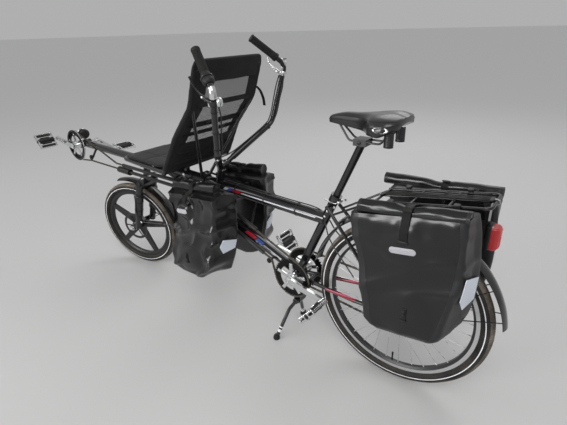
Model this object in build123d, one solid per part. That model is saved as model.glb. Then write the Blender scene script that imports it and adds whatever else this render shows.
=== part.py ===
from build123d import *
import os
from math import atan2, cos, degrees, pi, radians, sin, sqrt

# Semi-recumbent tandem on its two-legged centre stand, with four panniers.
# +X is forward, +Y is the rider's left, +Z is up, in millimetres.
# The origin is on the ground, straight under the rear axle.

# Main layout
wheelbase = 1549.0
tyre_height = 40.5
rear_rim_r = 286.0
front_rim_r = 209.5
rear_tyre_r = rear_rim_r + tyre_height
front_tyre_r = front_rim_r + tyre_height
tyre_width = 47.0
head_angle = 74.0
fork_rake = 40.0
steer_at_rest = 13.0
rear_bb = (440.0, 305.0)
front_bb = (1985.0, 660.0)
crank_length = 170.0
rear_crank_angle = 192.6
front_crank_angle = 8.4
seat_tube_angle = 66.2

# Clearances
running_gap = 0.3
seat_gap = 0.3
chain_gap = 0.6

# Frame tubes
beam_r = 25.0
beam_start = (312.0, 592.0)
beam_end = (1450.0, 646.0)
boom_r = 21.0
boom_overlap = 27.0
down_tube_r = 20.0
down_tube_top_x = 1250.0
seat_tube_r = 17.5
seat_tube_top = 425.0
seat_post_r = 13.6
seat_post_top = 655.0
stay_r = 8.0
head_tube_r = 18.5
steerer_r = 14.3
bb_shell_r = 21.0
bb_shell_half = 34.0
crank_axle_r = 12.0

# Chains
chain_pitch = 12.7
chain_height = 8.0
chain_width = 6.0
timing_teeth = 42
timing_y = 52.0
big_ring_teeth = 44
drive_y = -53.0
ring_thickness = 2.4
tube_bend_low = (1040.0, 573.0)
tube_bend_high = (905.0, 600.0)
guide_front_x = 1600.0
sleeve_rear = 1482.0
tube_bracket_x = 1130.0
tensioner = (1850.0, 606.0)
tensioner_r = 14.0
rear_idler = (558.0, 350.0)
rear_idler_r = 11.4

# Wheels
rim_depth = 24.0
rim_width = 25.0
mag_spokes = 5
mag_angle = 29.0
wire_spokes = 32
wire_r = 1.1
cassette_teeth = [32, 28, 24, 21, 18]
cassette_step = 4.5
drive_sprocket = 3
guide_pulley = (26.0, rear_tyre_r - 74.5)
tension_pulley = (42.0, rear_tyre_r - 136.5)
pulley_r = 12.0

# Mudguards
guard_gap = 24.0
guard_thickness = 1.6
guard_width = 56.0
guard_crown = 8.0

# Luggage
rack_slope = 8.8
rack_front = (90.0, 2 * rear_tyre_r + 82)
rack_length = 350.0
rack_half = 68.0
rack_rod_r = 5.0
bag_inner_y = 87.0
bag_outer_y = 215.0


def at(x, z, y=0.0):
    """A point given along, up and across."""
    return Vector(x, y, z)


def along_angle(origin, distance, angle):
    """The point at a distance and an angle above the horizontal, in the middle plane."""
    return (origin[0] + distance * cos(radians(angle)), origin[1] + distance * sin(radians(angle)))


def rod(start, end, radius):
    """A round bar from one point to another."""
    start, end = Vector(start), Vector(end)
    base = Plane(origin=start, z_dir=end - start)
    return base * Cylinder(radius, (end - start).length, align=(Align.CENTER, Align.CENTER, Align.MIN))


def bent_rod(points, radius, bend):
    """A round bar along straight runs with filleted corners."""
    path = FilletPolyline(*[Vector(p) for p in points], radius=bend)
    return sweep(Plane(origin=path @ 0, z_dir=path % 0) * Circle(radius), path=path)


def across(x, z, y_from, y_to, radius):
    """A cylinder across the bicycle."""
    return rod((x, y_from, z), (x, y_to, z), radius)


def side_plane(y, x=0.0, z=0.0):
    """A drawing plane seen from the right: its first axis is forward and its second is up."""
    return Plane(origin=(x, y, z), x_dir=(1, 0, 0), z_dir=(0, -1, 0))


def side_plate(sketch, y_from, y_to, x=0.0, z=0.0):
    """A side-view outline given a thickness between two distances from the middle plane."""
    return extrude(side_plane(max(y_from, y_to), x, z) * sketch, amount=abs(y_to - y_from))


def fused(*solids):
    """Several solids as one."""
    whole = solids[0]
    for solid in solids[1:]:
        whole = whole + solid
    return whole


# Steering axis, up the head tube, and the second one under the handlebar
steer_dir = Vector(-cos(radians(head_angle)), 0, sin(radians(head_angle)))
steer_side = Vector(sin(radians(head_angle)), 0, cos(radians(head_angle)))
turned_side = sin(radians(steer_at_rest)) * cos(radians(head_angle))
front_axle_z = (
    front_tyre_r * sqrt(1 - turned_side**2)
    + fork_rake * cos(radians(head_angle)) * (1 - cos(radians(steer_at_rest)))
)
front_axle = Vector(wheelbase, 0, front_axle_z)
steer_foot = front_axle - steer_side * fork_rake
bar_pivot = Vector(847, 0, 714)
steer_axis = Axis(steer_foot, steer_dir)
bar_axis = Axis(bar_pivot, steer_dir)


def on_steer(height):
    """The point of the fork's steering axis at a height."""
    return steer_foot + steer_dir * ((height - steer_foot.Z) / steer_dir.Z)


def on_bar(height):
    """The point of the handlebar's steering axis at a height."""
    return bar_pivot + steer_dir * ((height - bar_pivot.Z) / steer_dir.Z)


def beam_z(x):
    """The height of the main beam's centre line."""
    rise = (beam_end[1] - beam_start[1]) / (beam_end[0] - beam_start[0])
    return beam_start[1] + rise * (x - beam_start[0])


def on_seat_tube(distance, y=0.0):
    """The point of the seat tube at a distance from the bottom bracket."""
    x, z = along_angle(rear_bb, distance, 180 - seat_tube_angle)
    return Vector(x, y, z)


# Frame tubes
beam_dir = (at(*beam_end) - at(*beam_start)).normalized()
head_low = 562.0
head_high = 670.0
bar_tube_low = 572.0
bar_tube_high = 684.0
pivot_tube_r = 17.0


def frame_tubes():
    """The main beam, down tube, seat tube, head tube and boom, each cut to meet the next."""
    head = rod(on_steer(head_low), on_steer(head_high), head_tube_r)
    pivot = rod(on_bar(bar_tube_low), on_bar(bar_tube_high), pivot_tube_r)
    shell = across(rear_bb[0], rear_bb[1], -bb_shell_half, bb_shell_half, bb_shell_r)
    seat = rod(on_seat_tube(0), on_seat_tube(seat_tube_top), seat_tube_r)
    beam = rod(at(*beam_start), at(*beam_end), beam_r)
    collar = rod(at(*beam_end) - beam_dir * 34, at(*beam_end), beam_r + 4)
    ear = side_plate(RectangleRounded(30, 16, 3), -11, 11, beam_end[0] - 17, beam_end[1] - 32)
    down = rod(at(*rear_bb), at(down_tube_top_x, beam_z(down_tube_top_x)), down_tube_r)
    boom_start = at(*beam_end) - beam_dir * boom_overlap
    boom_line = at(front_bb[0], front_bb[1]) - boom_start
    boom_shell = across(front_bb[0], front_bb[1], -bb_shell_half, bb_shell_half, bb_shell_r)
    boom = rod(boom_start, boom_start + boom_line * 0.975, boom_r) + boom_shell
    boom -= across(front_bb[0], front_bb[1], -50, 50, crank_axle_r + running_gap)
    beam = beam + collar + ear
    beam -= rod(boom_start, boom_start + boom_line * 2, boom_r)
    beam = beam - rod(on_steer(head_low - 40), on_steer(head_high + 40), head_tube_r) - pivot - seat
    down = down - beam - rod(at(*beam_start), at(*beam_end), beam_r) - shell - seat
    seat_collar = rod(on_seat_tube(seat_tube_top - 26), on_seat_tube(seat_tube_top + 4), seat_tube_r + 4)
    seat = seat + seat_collar + shell
    seat -= across(rear_bb[0], rear_bb[1], -50, 50, crank_axle_r + running_gap)
    seat -= rod(on_seat_tube(seat_tube_top - 120), on_seat_tube(seat_tube_top + 50), seat_post_r)
    head -= rod(on_steer(head_low - 20), on_steer(head_high + 20), steerer_r + running_gap)
    pivot -= rod(on_bar(bar_tube_low - 20), on_bar(bar_tube_high + 20), 12.7 + running_gap)
    post = rod(on_seat_tube(seat_tube_top - 120), on_seat_tube(seat_post_top), seat_post_r)
    return {
        "main_beam": beam,
        "down_tube": down,
        "seat_tube": seat,
        "head_tubes": Compound([head, pivot]),
        "boom": boom,
        "seat_post": post,
    }


# Rear triangle
dropout_y = 70.0
eyelet_r = 2.5
wishbone_height = 380.0


def stay_point(share, side=1):
    """A point of a seatstay's centre line, from its top at 0 to the dropout at 1."""
    top = on_seat_tube(wishbone_height) + Vector(-4, 36, 0)
    low = Vector(9, dropout_y, rear_tyre_r + 24)
    point = top + (low - top) * share
    return Vector(point.X, side * point.Y, point.Z)


def guard_share():
    """How far down the seatstays their bridge rests on the rear mudguard."""
    target = rear_tyre_r + guard_gap + guard_thickness + guard_crown + 6
    steps = 400
    for number in range(steps):
        point = stay_point(number / steps)
        if sqrt(point.X ** 2 + (point.Z - rear_tyre_r) ** 2) <= target:
            return number / steps
    return 0.2


def rear_stays():
    """The chainstays with their dropouts, and the seatstays."""
    bb = rear_bb
    line = [
        (bb[0] - 20, 22, bb[1]), (bb[0] - 100, 35, bb[1] + 3), (150, 62, rear_tyre_r - 9),
        (16, dropout_y, rear_tyre_r),
    ]
    low = bent_rod(line, stay_r, 80)
    shape = Circle(19) + Pos(-14, 22) * Circle(8) + Pos(-14, -19) * Circle(8)
    shape -= Circle(5.0) + Pos(-14, 24) * Circle(eyelet_r) + Pos(-14, -21) * Circle(eyelet_r)
    plate = side_plate(shape, dropout_y - 4, dropout_y + 4, 0, rear_tyre_r)
    chainstay = low + plate
    bridge = rod((bb[0] - 72, -40, bb[1] + 2), (bb[0] - 72, 40, bb[1] + 2), 7)
    chainstays = fused(chainstay, mirror(chainstay, about=Plane.XZ), bridge)
    shell = across(bb[0], bb[1], -bb_shell_half, bb_shell_half, bb_shell_r)
    chainstays = chainstays - shell
    top = on_seat_tube(wishbone_height)
    high = rod(stay_point(0), stay_point(1), 6.5)
    wishbone = rod((top.X, -36, top.Z), (top.X, 36, top.Z), 9)
    share = guard_share()
    bridge = rod(stay_point(share, -1), stay_point(share), 6)
    seatstays = fused(high, mirror(high, about=Plane.XZ), wishbone, bridge)
    seatstays = seatstays - chainstays - rod(on_seat_tube(0), on_seat_tube(seat_tube_top), seat_tube_r)
    return {"chainstays": chainstays, "seatstays": seatstays}


# Wheels
def tyre(outer_r, rim_r):
    """A road tyre that fills its rim's channel and ends on the rim's edges."""
    half = tyre_width / 2
    section = Pos(outer_r - half, 0) * Circle(half)
    section &= Pos(outer_r, 0) * Rectangle(2 * (outer_r - rim_r), 3 * half)
    bead = Pos(rim_r - 5, 0) * Rectangle(10, 20)
    return revolve(Plane.XY * (section + bead), axis=Axis.Y, revolution_arc=360)


def rim_section(rim_r):
    """Half a hollow-looking rim: edges, a channel for the tyre, and a rounded inner wall."""
    half = rim_width / 2
    points = [
        (rim_r, -half), (rim_r, -10), (rim_r - 10, -10), (rim_r - 10, 10), (rim_r, 10), (rim_r, half),
        (rim_r - 15, half), (rim_r - rim_depth, half - 6), (rim_r - rim_depth, 6 - half), (rim_r - 15, -half),
    ]
    return make_face(Polyline(*points, close=True))


def ring_of(section):
    """A section turned about the wheel's axle."""
    return revolve(Plane.XY * section, axis=Axis.Y, revolution_arc=360)


def wheel_place(axle_x, axle_z):
    """Where a wheel drawn about the origin goes."""
    return Pos(axle_x, 0, axle_z)


def rear_wheel():
    """The wire-spoked rear wheel with its hub and cassette."""
    rim = ring_of(rim_section(rear_rim_r))
    flange_y = 31.0
    flange_r = 27.0
    hub = rod((0, -flange_y - 3, 0), (0, flange_y + 3, 0), 17)
    for side in (-1, 1):
        hub += rod((0, side * flange_y, 0), (0, side * (flange_y + 3), 0), flange_r + 4)
    hub += rod((0, -dropout_y + 4 + seat_gap, 0), (0, dropout_y - 4 - seat_gap, 0), 8.5)
    hub += rod((0, -dropout_y - 9, 0), (0, dropout_y + 9, 0), 4.7)
    for side in (-1, 1):
        hub += rod((0, side * (dropout_y + 4 + seat_gap), 0), (0, side * (dropout_y + 12), 0), 9)
    spokes = []
    for number in range(wire_spokes):
        side = 1 if number % 2 else -1
        lead = 62 if number % 4 < 2 else -62
        angle = 360 / wire_spokes * (number + 0.5)
        hub_angle = radians(angle + lead)
        rim_angle = radians(angle)
        start = (flange_r * cos(hub_angle), side * (flange_y + 1.5), flange_r * sin(hub_angle))
        reach = rear_rim_r - rim_depth + 1.5
        end = (reach * cos(rim_angle), side * 3, reach * sin(rim_angle))
        spokes.append(rod(start, end, wire_r) - hub - rim)
    return rim, hub, Compound(spokes)


def mag_wheel():
    """The cast front wheel: rim, five broad tapering spokes and hub in one."""
    body = ring_of(rim_section(front_rim_r))
    inner = front_rim_r - rim_depth + 2
    spoke = make_face(Polyline((14, -21), (inner, -13), (inner, 13), (14, 21), close=True))
    for number in range(mag_spokes):
        turn = mag_angle + 360 / mag_spokes * number
        blade = side_plate(Rot(0, 0, turn) * spoke, -7, 7)
        body += blade
    body += rod((0, -26, 0), (0, 26, 0), 26)
    body -= rod((0, -30, 0), (0, 30, 0), 10)
    axle = rod((0, -58, 0), (0, 58, 0), 4.7)
    axle += rod((0, -46, 0), (0, 46, 0), 10)
    rotor = side_plate(Circle(80) - Circle(66), 33, 35)
    for number in range(6):
        arm = Rot(0, 0, 60 * number) * (Pos(44, 0) * Rectangle(52, 7))
        rotor += side_plate(arm, 33, 35)
    rotor += side_plate(Circle(24), 27, 37)
    rotor -= rod((0, 20, 0), (0, 40, 0), 10)
    return body, axle, rotor


# Sprockets and chains
def pitch_radius(teeth):
    """The radius of a sprocket's pitch circle."""
    return chain_pitch / 2 / sin(pi / teeth)


def sprocket(teeth, bore, y, thickness=ring_thickness):
    """A toothed ring with straight-sided teeth and a round opening."""
    root = pitch_radius(teeth) - 3.5
    tip = pitch_radius(teeth) + 2.2
    edge = [(root - 2, -4.2), (root, -4.0), (tip, -1.3), (tip, 1.3), (root, 4.0), (root - 2, 4.2)]
    tooth = make_face(Polyline(*edge, close=True))
    outline = Circle(root)
    for number in range(teeth):
        outline += Rot(0, 0, 360 / teeth * number) * tooth
    outline -= Circle(bore)
    return side_plate(outline, y - thickness / 2, y + thickness / 2)


def tangent_point(point, centre, radius, side):
    """Where a line from a point touches a circle; side 1 is on its left, seen from the point."""
    dx, dz = centre[0] - point[0], centre[1] - point[1]
    distance = sqrt(dx * dx + dz * dz)
    heading = atan2(dz, dx)
    spread = atan2(radius, sqrt(distance * distance - radius * radius))
    reach = sqrt(distance * distance - radius * radius)
    angle = heading + side * spread
    return (point[0] + reach * cos(angle), point[1] + reach * sin(angle))


def chain_run(start, end):
    """A straight stretch of chain, seen from the side."""
    length = sqrt((end[0] - start[0]) ** 2 + (end[1] - start[1]) ** 2)
    turn = degrees(atan2(end[1] - start[1], end[0] - start[0]))
    middle = ((start[0] + end[0]) / 2, (start[1] + end[1]) / 2)
    bar = Pos(*middle) * Rot(0, 0, turn) * Rectangle(length, chain_height)
    return bar + Pos(*start) * Circle(chain_height / 2) + Pos(*end) * Circle(chain_height / 2)


def chain_wrap(centre, radius, angle_from, angle_to):
    """The stretch of chain round a sprocket, from one angle up to another, in degrees."""
    reach = radius + 40
    steps = 6
    points = [centre]
    for number in range(steps + 1):
        angle = radians(angle_from + (angle_to - angle_from) * number / steps)
        points.append((centre[0] + reach * cos(angle), centre[1] + reach * sin(angle)))
    ring = Pos(*centre) * (Circle(radius + chain_height / 2) - Circle(radius - chain_height / 2))
    return ring & make_face(Polyline(*points, close=True))


def angle_of(centre, point):
    """The angle of a point round a centre, from 0 to 360."""
    return degrees(atan2(point[1] - centre[1], point[0] - centre[0])) % 360


def wrap_radius(teeth):
    """The radius of the chain's middle line, clear of the teeth."""
    return pitch_radius(teeth) + 2.2 + chain_gap + chain_height / 2


below_tensioner = (tensioner[0], tensioner[1] - tensioner_r - chain_gap - chain_height / 2)
over_idler = along_angle(rear_idler, rear_idler_r + 7, 140)


def timing_chain():
    """The chain that joins the two cranks: upper run, front ring, tensioner, lower run, idler, rear ring."""
    ring = wrap_radius(timing_teeth)
    upper_front = (guide_front_x, tube_bend_high[1] + 12)
    front_top = tangent_point(upper_front, front_bb, ring, 1)
    front_low = tangent_point(below_tensioner, front_bb, ring, -1)
    lower_front = below_tensioner
    rear_top = tangent_point(tube_bend_high, rear_bb, ring, -1)
    rear_low = tangent_point(over_idler, rear_bb, ring, 1)
    outline = chain_run(upper_front, front_top)
    outline += chain_run(upper_front, tube_bend_high)
    outline += chain_run(tube_bend_high, rear_top)
    outline += chain_run(rear_low, over_idler)
    outline += chain_run(over_idler, tube_bend_low)
    outline += chain_run(tube_bend_low, lower_front)
    outline += chain_run(lower_front, front_low)
    front_start = angle_of(front_bb, front_low) - 360
    outline += chain_wrap(front_bb, ring, front_start, angle_of(front_bb, front_top))
    outline += chain_wrap(rear_bb, ring, angle_of(rear_bb, rear_top), angle_of(rear_bb, rear_low))
    return side_plate(outline, timing_y - chain_width / 2, timing_y + chain_width / 2)


def chain_tubes():
    """Two guide tubes round the timing chain, on a bracket from the main beam, with a grey sleeve in front."""
    y = timing_y
    low_front = guide_front_x - 20
    high_front = guide_front_x - 60
    ends = [
        ((585, tube_z_low(585)), tube_bend_low, (low_front, lower_z(low_front))),
        ((620, tube_z_high(620)), tube_bend_high, (high_front, upper_z(high_front))),
    ]
    solid = rod(at(sleeve_rear, lower_z(sleeve_rear), y), at(low_front, lower_z(low_front), y), 16.5)
    x = tube_bracket_x
    solid += rod(at(x, beam_z(x) - 6, 8), at(x, upper_z(x) + 2, y), 5)
    solid += rod(at(x, upper_z(x), y - 6), at(x, lower_z(x), y - 6), 4)
    hollow = None
    for rear, bend, front in ends:
        solid += rod(at(*rear, y), at(*bend, y), 8.5)
        solid += rod(at(*bend, y), at(*front, y), 8.5)
        bore = rod(at(*rear, y), at(*bend, y), 6.4) + rod(at(*bend, y), at(*front, y), 6.4)
        bore += Pos(bend[0], y, bend[1]) * Sphere(6.4)
        hollow = bore if hollow is None else hollow + bore
    return solid - hollow - rod(at(*beam_start), at(*beam_end), beam_r)


def line_z(start, end, x):
    """The height of a straight line at a place along the bicycle."""
    return start[1] + (end[1] - start[1]) * (x - start[0]) / (end[0] - start[0])


def tube_z_low(x):
    """The height of the chain's lower run behind its bend."""
    return line_z(over_idler, tube_bend_low, x)


def tube_z_high(x):
    """The height of the chain's upper run behind its bend."""
    ring = wrap_radius(timing_teeth)
    return line_z(tangent_point(tube_bend_high, rear_bb, ring, -1), tube_bend_high, x)


def lower_z(x):
    """The height of the chain's lower run in front of its bend."""
    return line_z(tube_bend_low, below_tensioner, x)


def upper_z(x):
    """The height of the chain's upper run in front of its bend."""
    return line_z(tube_bend_high, (guide_front_x, tube_bend_high[1] + 12), x)


# Steered parts, drawn straight ahead and then turned by the steering angle of the rest pose
crown_height = 523.0
fork_half = 58.0
leg_r = 17.0
sleeve_r = 22.0
leg_end = 262.0
lever_length = 55.0
lever_height = 541.0
bar_lever_height = 565.0
eye_offset = 8.9


def turned(solid, axis):
    """A steered piece, turned to the rest pose."""
    return solid.rotate(axis, steer_at_rest)


def tilted_plane(origin):
    """A plane square to the steering axes: its first axis is forward and its second is to the left."""
    return Plane(origin=origin, x_dir=steer_side, z_dir=steer_dir)


def lever_arm(centre, thickness):
    """A steering arm out to the right of its axis, square to it."""
    bar = Pos(0, -lever_length / 2) * Rectangle(18, lever_length)
    shape = bar + Pos(0, -lever_length) * Circle(9) + Circle(16)
    return extrude(tilted_plane(centre - steer_dir * thickness / 2) * shape, amount=thickness)


def eye_centre(axis_point, offset):
    """The middle of a push-rod eye, straight ahead."""
    return axis_point + Vector(0, -lever_length, 0) + steer_dir * offset


def fork():
    """Steerer, crown, two legs with dropouts, and the arm for the push rod."""
    crown = on_steer(crown_height)
    solid = rod(crown, on_steer(head_high + 8), steerer_r)
    solid += rod(crown, on_steer(head_low) - steer_dir * running_gap, 17)
    solid += rod(on_steer(head_high) + steer_dir * running_gap, on_steer(head_high + 8), 16)
    shape = RectangleRounded(42, 2 * fork_half + 40, 18)
    solid += extrude(tilted_plane(crown - steer_dir * 11) * shape, amount=22)
    solid += lever_arm(on_steer(lever_height), 7)
    pin_foot = eye_centre(on_steer(lever_height), 0)
    solid += rod(pin_foot, pin_foot + steer_dir * 17, 4)
    for side in (-1, 1):
        across_leg = Vector(0, side * fork_half, 0)
        solid += rod(crown + across_leg, on_steer(leg_end) + across_leg, leg_r)
        sleeve = rod(on_steer(470) + across_leg, on_steer(345) + across_leg, sleeve_r)
        solid += fillet(sleeve.edges().filter_by(GeomType.CIRCLE), 8)
        solid += side_plate(fork_end(), side * fork_half - 4, side * fork_half + 4)
    solid -= across(front_axle.X, front_axle.Z, -90, 90, 5.0)
    return solid


def fork_end():
    """The side outline of a dropout, from the foot of its leg to the axle."""
    foot = on_steer(leg_end + 20)
    span = front_axle - foot
    turn = degrees(atan2(span.Z, span.X))
    bridge = Pos(foot.X + span.X / 2, foot.Z + span.Z / 2) * Rot(0, 0, turn) * Rectangle(span.length, 26)
    return bridge + Pos(foot.X, foot.Z) * Circle(14) + Pos(front_axle.X, front_axle.Z) * Circle(17)


def guard_shell(inner_r, angle_from, angle_to):
    """A crowned mudguard from one angle to another, about the origin."""
    half = guard_width / 2
    edge, top = inner_r + guard_thickness, inner_r + guard_thickness + guard_crown
    outer = ThreePointArc((edge, -half), (top, 0), (edge, half))
    inner = ThreePointArc((inner_r, half), (inner_r + guard_crown, 0), (inner_r, -half))
    ends = [Line(outer @ 1, inner @ 0), Line(inner @ 1, outer @ 0)]
    section = make_face([outer, ends[0], inner, ends[1]])
    shell = revolve(Plane.XY * section, axis=Axis.Y, revolution_arc=angle_to - angle_from)
    return shell.rotate(Axis.Y, -angle_to)


def front_guard():
    """The front mudguard with its wire stays and its bracket under the crown."""
    inner = front_tyre_r + guard_gap
    shell = Pos(front_axle.X, 0, front_axle.Z) * guard_shell(inner, 76, 172)
    for side in (-1, 1):
        leg = on_steer(300) + Vector(0, side * fork_half, 0)
        foot = leg - Vector(leg_r + 4, 0, 0)
        for angle in (152, 170):
            x, z = along_angle((front_axle.X, front_axle.Z), inner + 1, angle)
            shell += rod(foot, (x, side * (guard_width / 2 - 1), z), 1.8)
        shell += rod(leg, foot, 4)
    crown = on_steer(crown_height) - steer_dir * 11
    x, z = along_angle((front_axle.X, front_axle.Z), inner + 6, 110)
    shell += rod((x, 0, z), crown, 7)
    return shell


def caliper(fork_solid):
    """The front brake caliper, seated on the left leg, open over the rotor."""
    x, z = along_angle((front_axle.X, front_axle.Z), 76, 134)
    turn = Rot(0, 0, 134)
    block = side_plate(turn * RectangleRounded(34, 52, 7), 24, 46, x, z)
    slot = side_plate(Circle(84), 31.5, 36.5, front_axle.X, front_axle.Z)
    return block - slot - fork_solid


# Handlebar, drawn straight ahead: end, grip bend, elbow and base of the left half
bar_r = 11.0
arm_sleeve_r = 13.5
bar_end = (757.0, 203.0, 1212.0)
bar_bend = (650.0, 292.0, 1095.0)
bar_elbow = (703.0, 235.0, 853.0)
bar_base = (842.0, 26.0, 716.0)
grip_r = 16.0
grip_length = 125.0


def flipped(point):
    """The same point on the other side."""
    return (point[0], -point[1], point[2])


def handlebar():
    """The U-shaped bar: up from the stem, out to the elbows, up beside the rider, in to the grips."""
    half = [bar_end, bar_bend, bar_elbow, bar_base]
    points = half + [flipped(p) for p in reversed(half)]
    solid = bent_rod(points, bar_r, [38, 55, 24, 24, 55, 38])
    for elbow, base in ((bar_elbow, bar_base), (flipped(bar_elbow), flipped(bar_base))):
        down = (Vector(base) - Vector(elbow)).normalized()
        solid += rod(Vector(elbow) + down * 26, Vector(base) - down * 40, arm_sleeve_r)
    return solid


def stem(bar):
    """The column in its pivot tube, with its collar, bar clamp and steering arm."""
    solid = rod(on_bar(bar_lever_height), on_bar(bar_pivot.Z), 12.7)
    solid += rod(on_bar(bar_tube_high) + steer_dir * running_gap, on_bar(bar_tube_high + 14), 18)
    solid += rod(on_bar(bar_pivot.Z - 18), on_bar(bar_pivot.Z + 14), 19)
    solid += rod((842, -24, 716), (842, 24, 716), 17)
    solid += lever_arm(on_bar(bar_lever_height), 7)
    pin_foot = eye_centre(on_bar(bar_lever_height), 0)
    solid += rod(pin_foot, pin_foot - steer_dir * 17, 4)
    return solid - bar


def grip_line(side):
    """The end of the bar and the direction back along the grip."""
    end = Vector(bar_end[0], side * bar_end[1], bar_end[2])
    bend = Vector(bar_bend[0], side * bar_bend[1], bar_bend[2])
    return end, (bend - end).normalized()


def grips():
    """The two rubber grips over the bar's ends."""
    solids = []
    for side in (-1, 1):
        end, back = grip_line(side)
        grip = rod(end - back * 3, end + back * grip_length, grip_r)
        grip = fillet(grip.edges(), 3)
        solids.append(grip - rod(end, end + back * (grip_length + 20), bar_r))
    return Compound(solids)


def controls():
    """A brake lever with its clamp, and a twist shifter, on each side."""
    solids = []
    for side in (-1, 1):
        end, back = grip_line(side)
        outward = Vector(0.62, 0.62 * side, -0.3).normalized()
        near = end + back * (grip_length + 1)
        clamp = rod(near, near + back * 26, grip_r + 2)
        body = rod(near + back * 12, near + back * 12 + outward * 42, 9)
        tip = near + back * 12 + outward * 40
        blade = rod(tip, tip - back * 95 - outward * 6, 5)
        solid = clamp + body + blade
        solids.append(solid - rod(end, end + back * 300, bar_r))
    return Compound(solids)


def bell():
    """A domed bell on a band, on the left of the bar."""
    elbow = Vector(bar_elbow)
    bend = Vector(bar_bend)
    up = (bend - elbow).normalized()
    place = elbow + up * 208
    band = rod(place - up * 6, place + up * 6, bar_r + 3) - rod(elbow, bend, bar_r)
    out = Vector(-0.8, -0.35, 0).normalized()
    foot = place + up * 6 + out * (bar_r + 2)
    dome = rod(foot, foot + out * 20, 18)
    return band + fillet(dome.edges(), 6) - rod(elbow, bend, bar_r)


def push_rod():
    """The steering rod with an eye at each end, round the pins of the two arms."""
    rear = eye_centre(on_bar(bar_lever_height), -eye_offset)
    front = eye_centre(on_steer(lever_height), eye_offset)
    turn = Vector(0, -lever_length, 0).rotate(Axis((0, 0, 0), steer_dir), steer_at_rest)
    shift = turn - Vector(0, -lever_length, 0)
    rear, front = rear + shift, front + shift
    ahead = (front - rear).normalized()
    solid = rod(rear + ahead * 8, front - ahead * 8, 5)
    for place in (rear, front):
        solid += rod(place - steer_dir * 5, place + steer_dir * 5, 11)
    for place in (rear, front):
        solid -= rod(place - steer_dir * 12, place + steer_dir * 12, 4 + running_gap)
    return solid


# Cranks and pedals
arm_y = 68.0
arm_thickness = 13.0
pedal_inner = 98.0
pedal_outer = 193.0
pedal_length = 96.0
pedal_tilts = {"rear": (-50, 60), "front": (50, 10)}


def crank_arm(bb, angle, side):
    """A tapering crank arm on one side, with its pedal spindle."""
    near = bb
    far = along_angle(bb, crank_length, angle)
    turn = Rot(0, 0, angle)
    shape = Circle(17) + turn * (Pos(crank_length, 0) * Circle(13))
    shape += turn * make_face(Polyline((0, -15), (crank_length, -11), (crank_length, 11), (0, 15), close=True))
    low, high = sorted((side * arm_y, side * (arm_y + arm_thickness)))
    arm = side_plate(shape, low, high, near[0], near[1])
    inside, outside = sorted((side * (arm_y + 2), side * (pedal_outer - 6)))
    return arm + across(far[0], far[1], inside, outside, 4.5)


def spider(bb, y_ring, side, reach):
    """The arms that join a crank arm to its ring, with the hub through them."""
    shape = Circle(26)
    for number in range(5):
        shape += Rot(0, 0, 72 * number + 18) * (Pos(reach / 2, 0) * Rectangle(reach, 15))
    low, high = sorted((y_ring + side * 1.2, y_ring + side * 6.2))
    plate = side_plate(shape, low, high, bb[0], bb[1])
    inside, outside = sorted((side * (bb_shell_half + running_gap), side * (arm_y + 2)))
    return plate + across(bb[0], bb[1], inside, outside, 19)


def crankset(bb, angle, spider_sides):
    """Both crank arms on one axle, with the spiders that carry the rings."""
    solid = across(bb[0], bb[1], -arm_y - 4, arm_y + 4, crank_axle_r)
    solid += crank_arm(bb, angle, 1) + crank_arm(bb, angle + 180, -1)
    for side, y_ring, reach in spider_sides:
        solid += spider(bb, y_ring, side, reach)
    return solid


def placed_sprocket(teeth, bore, y, centre):
    """A toothed ring at a place."""
    return Pos(centre[0], 0, centre[1]) * sprocket(teeth, bore, y)


def pedal(bb, angle, side, tilt):
    """A platform pedal: barrel, two cage plates and their cross bars, tilted nose up by an angle."""
    x, z = along_angle(bb, crank_length, angle)
    low, high = sorted((side * pedal_inner, side * pedal_outer))
    barrel = across(x, z, low, high, 12)
    cage = RectangleRounded(pedal_length, 22, 7) - Pos(-28, 0) * RectangleRounded(26, 12, 4)
    cage -= Pos(28, 0) * RectangleRounded(26, 12, 4)
    for y in (low, high - 5):
        barrel += side_plate(Rot(0, 0, tilt) * cage, y, y + 5, x, z)
    for reach in (-pedal_length / 2 + 4, pedal_length / 2 - 4):
        bar_x, bar_z = along_angle((x, z), reach, tilt)
        barrel += across(bar_x, bar_z, low, high, 4)
    return barrel - across(x, z, low - 9, high + 9, 4.5 + running_gap)


# Two-legged stand
stand_pivot = (436.0, 178.0)
stand_bend = (463.0, 45.0, 131.0)
stand_foot = (490.0, 106.0)
stand_hub = 22.0


def stand_bracket():
    """The carrier from the bottom bracket shell down to the stand's pivot."""
    x, z = stand_pivot
    bb = rear_bb
    shape = make_face(Polyline((bb[0] - 20, bb[1]), (bb[0] + 20, bb[1]), (x + 15, z), (x - 15, z), close=True))
    solid = side_plate(shape, -stand_hub, stand_hub) + across(x, z, -stand_hub, stand_hub, 17)
    solid -= across(bb[0], bb[1], -50, 50, bb_shell_r)
    return solid - across(x, z, -50, 50, 8 + running_gap)


def stand():
    """The stand: a pivot bar with a spread, bent leg and a foot at each end."""
    x, z = stand_pivot
    solid = across(x, z, -32, 32, 8)
    for side in (-1, 1):
        foot = (stand_foot[0], side * stand_foot[1])
        points = [(x, side * 30, z), (stand_bend[0], side * stand_bend[1], stand_bend[2]), (*foot, 6)]
        leg = bent_rod(points, 8, 30)
        solid += leg + rod((*foot, 0), (*foot, 16), 13)
        solid += rod((x, side * (stand_hub + running_gap), z), (x, side * 36, z), 13)
    return solid


# Stoker's seat
back_points = [(1006.0, 195.0, 697.0), (912.0, 182.0, 866.0), (806.0, 179.0, 993.0), (752.0, 179.0, 1155.0)]
seat_tube_round = 10.0
base_rear = (1006.0, 190.0, 702.0)
base_front = (1382.0, 142.0, 698.0)


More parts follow.
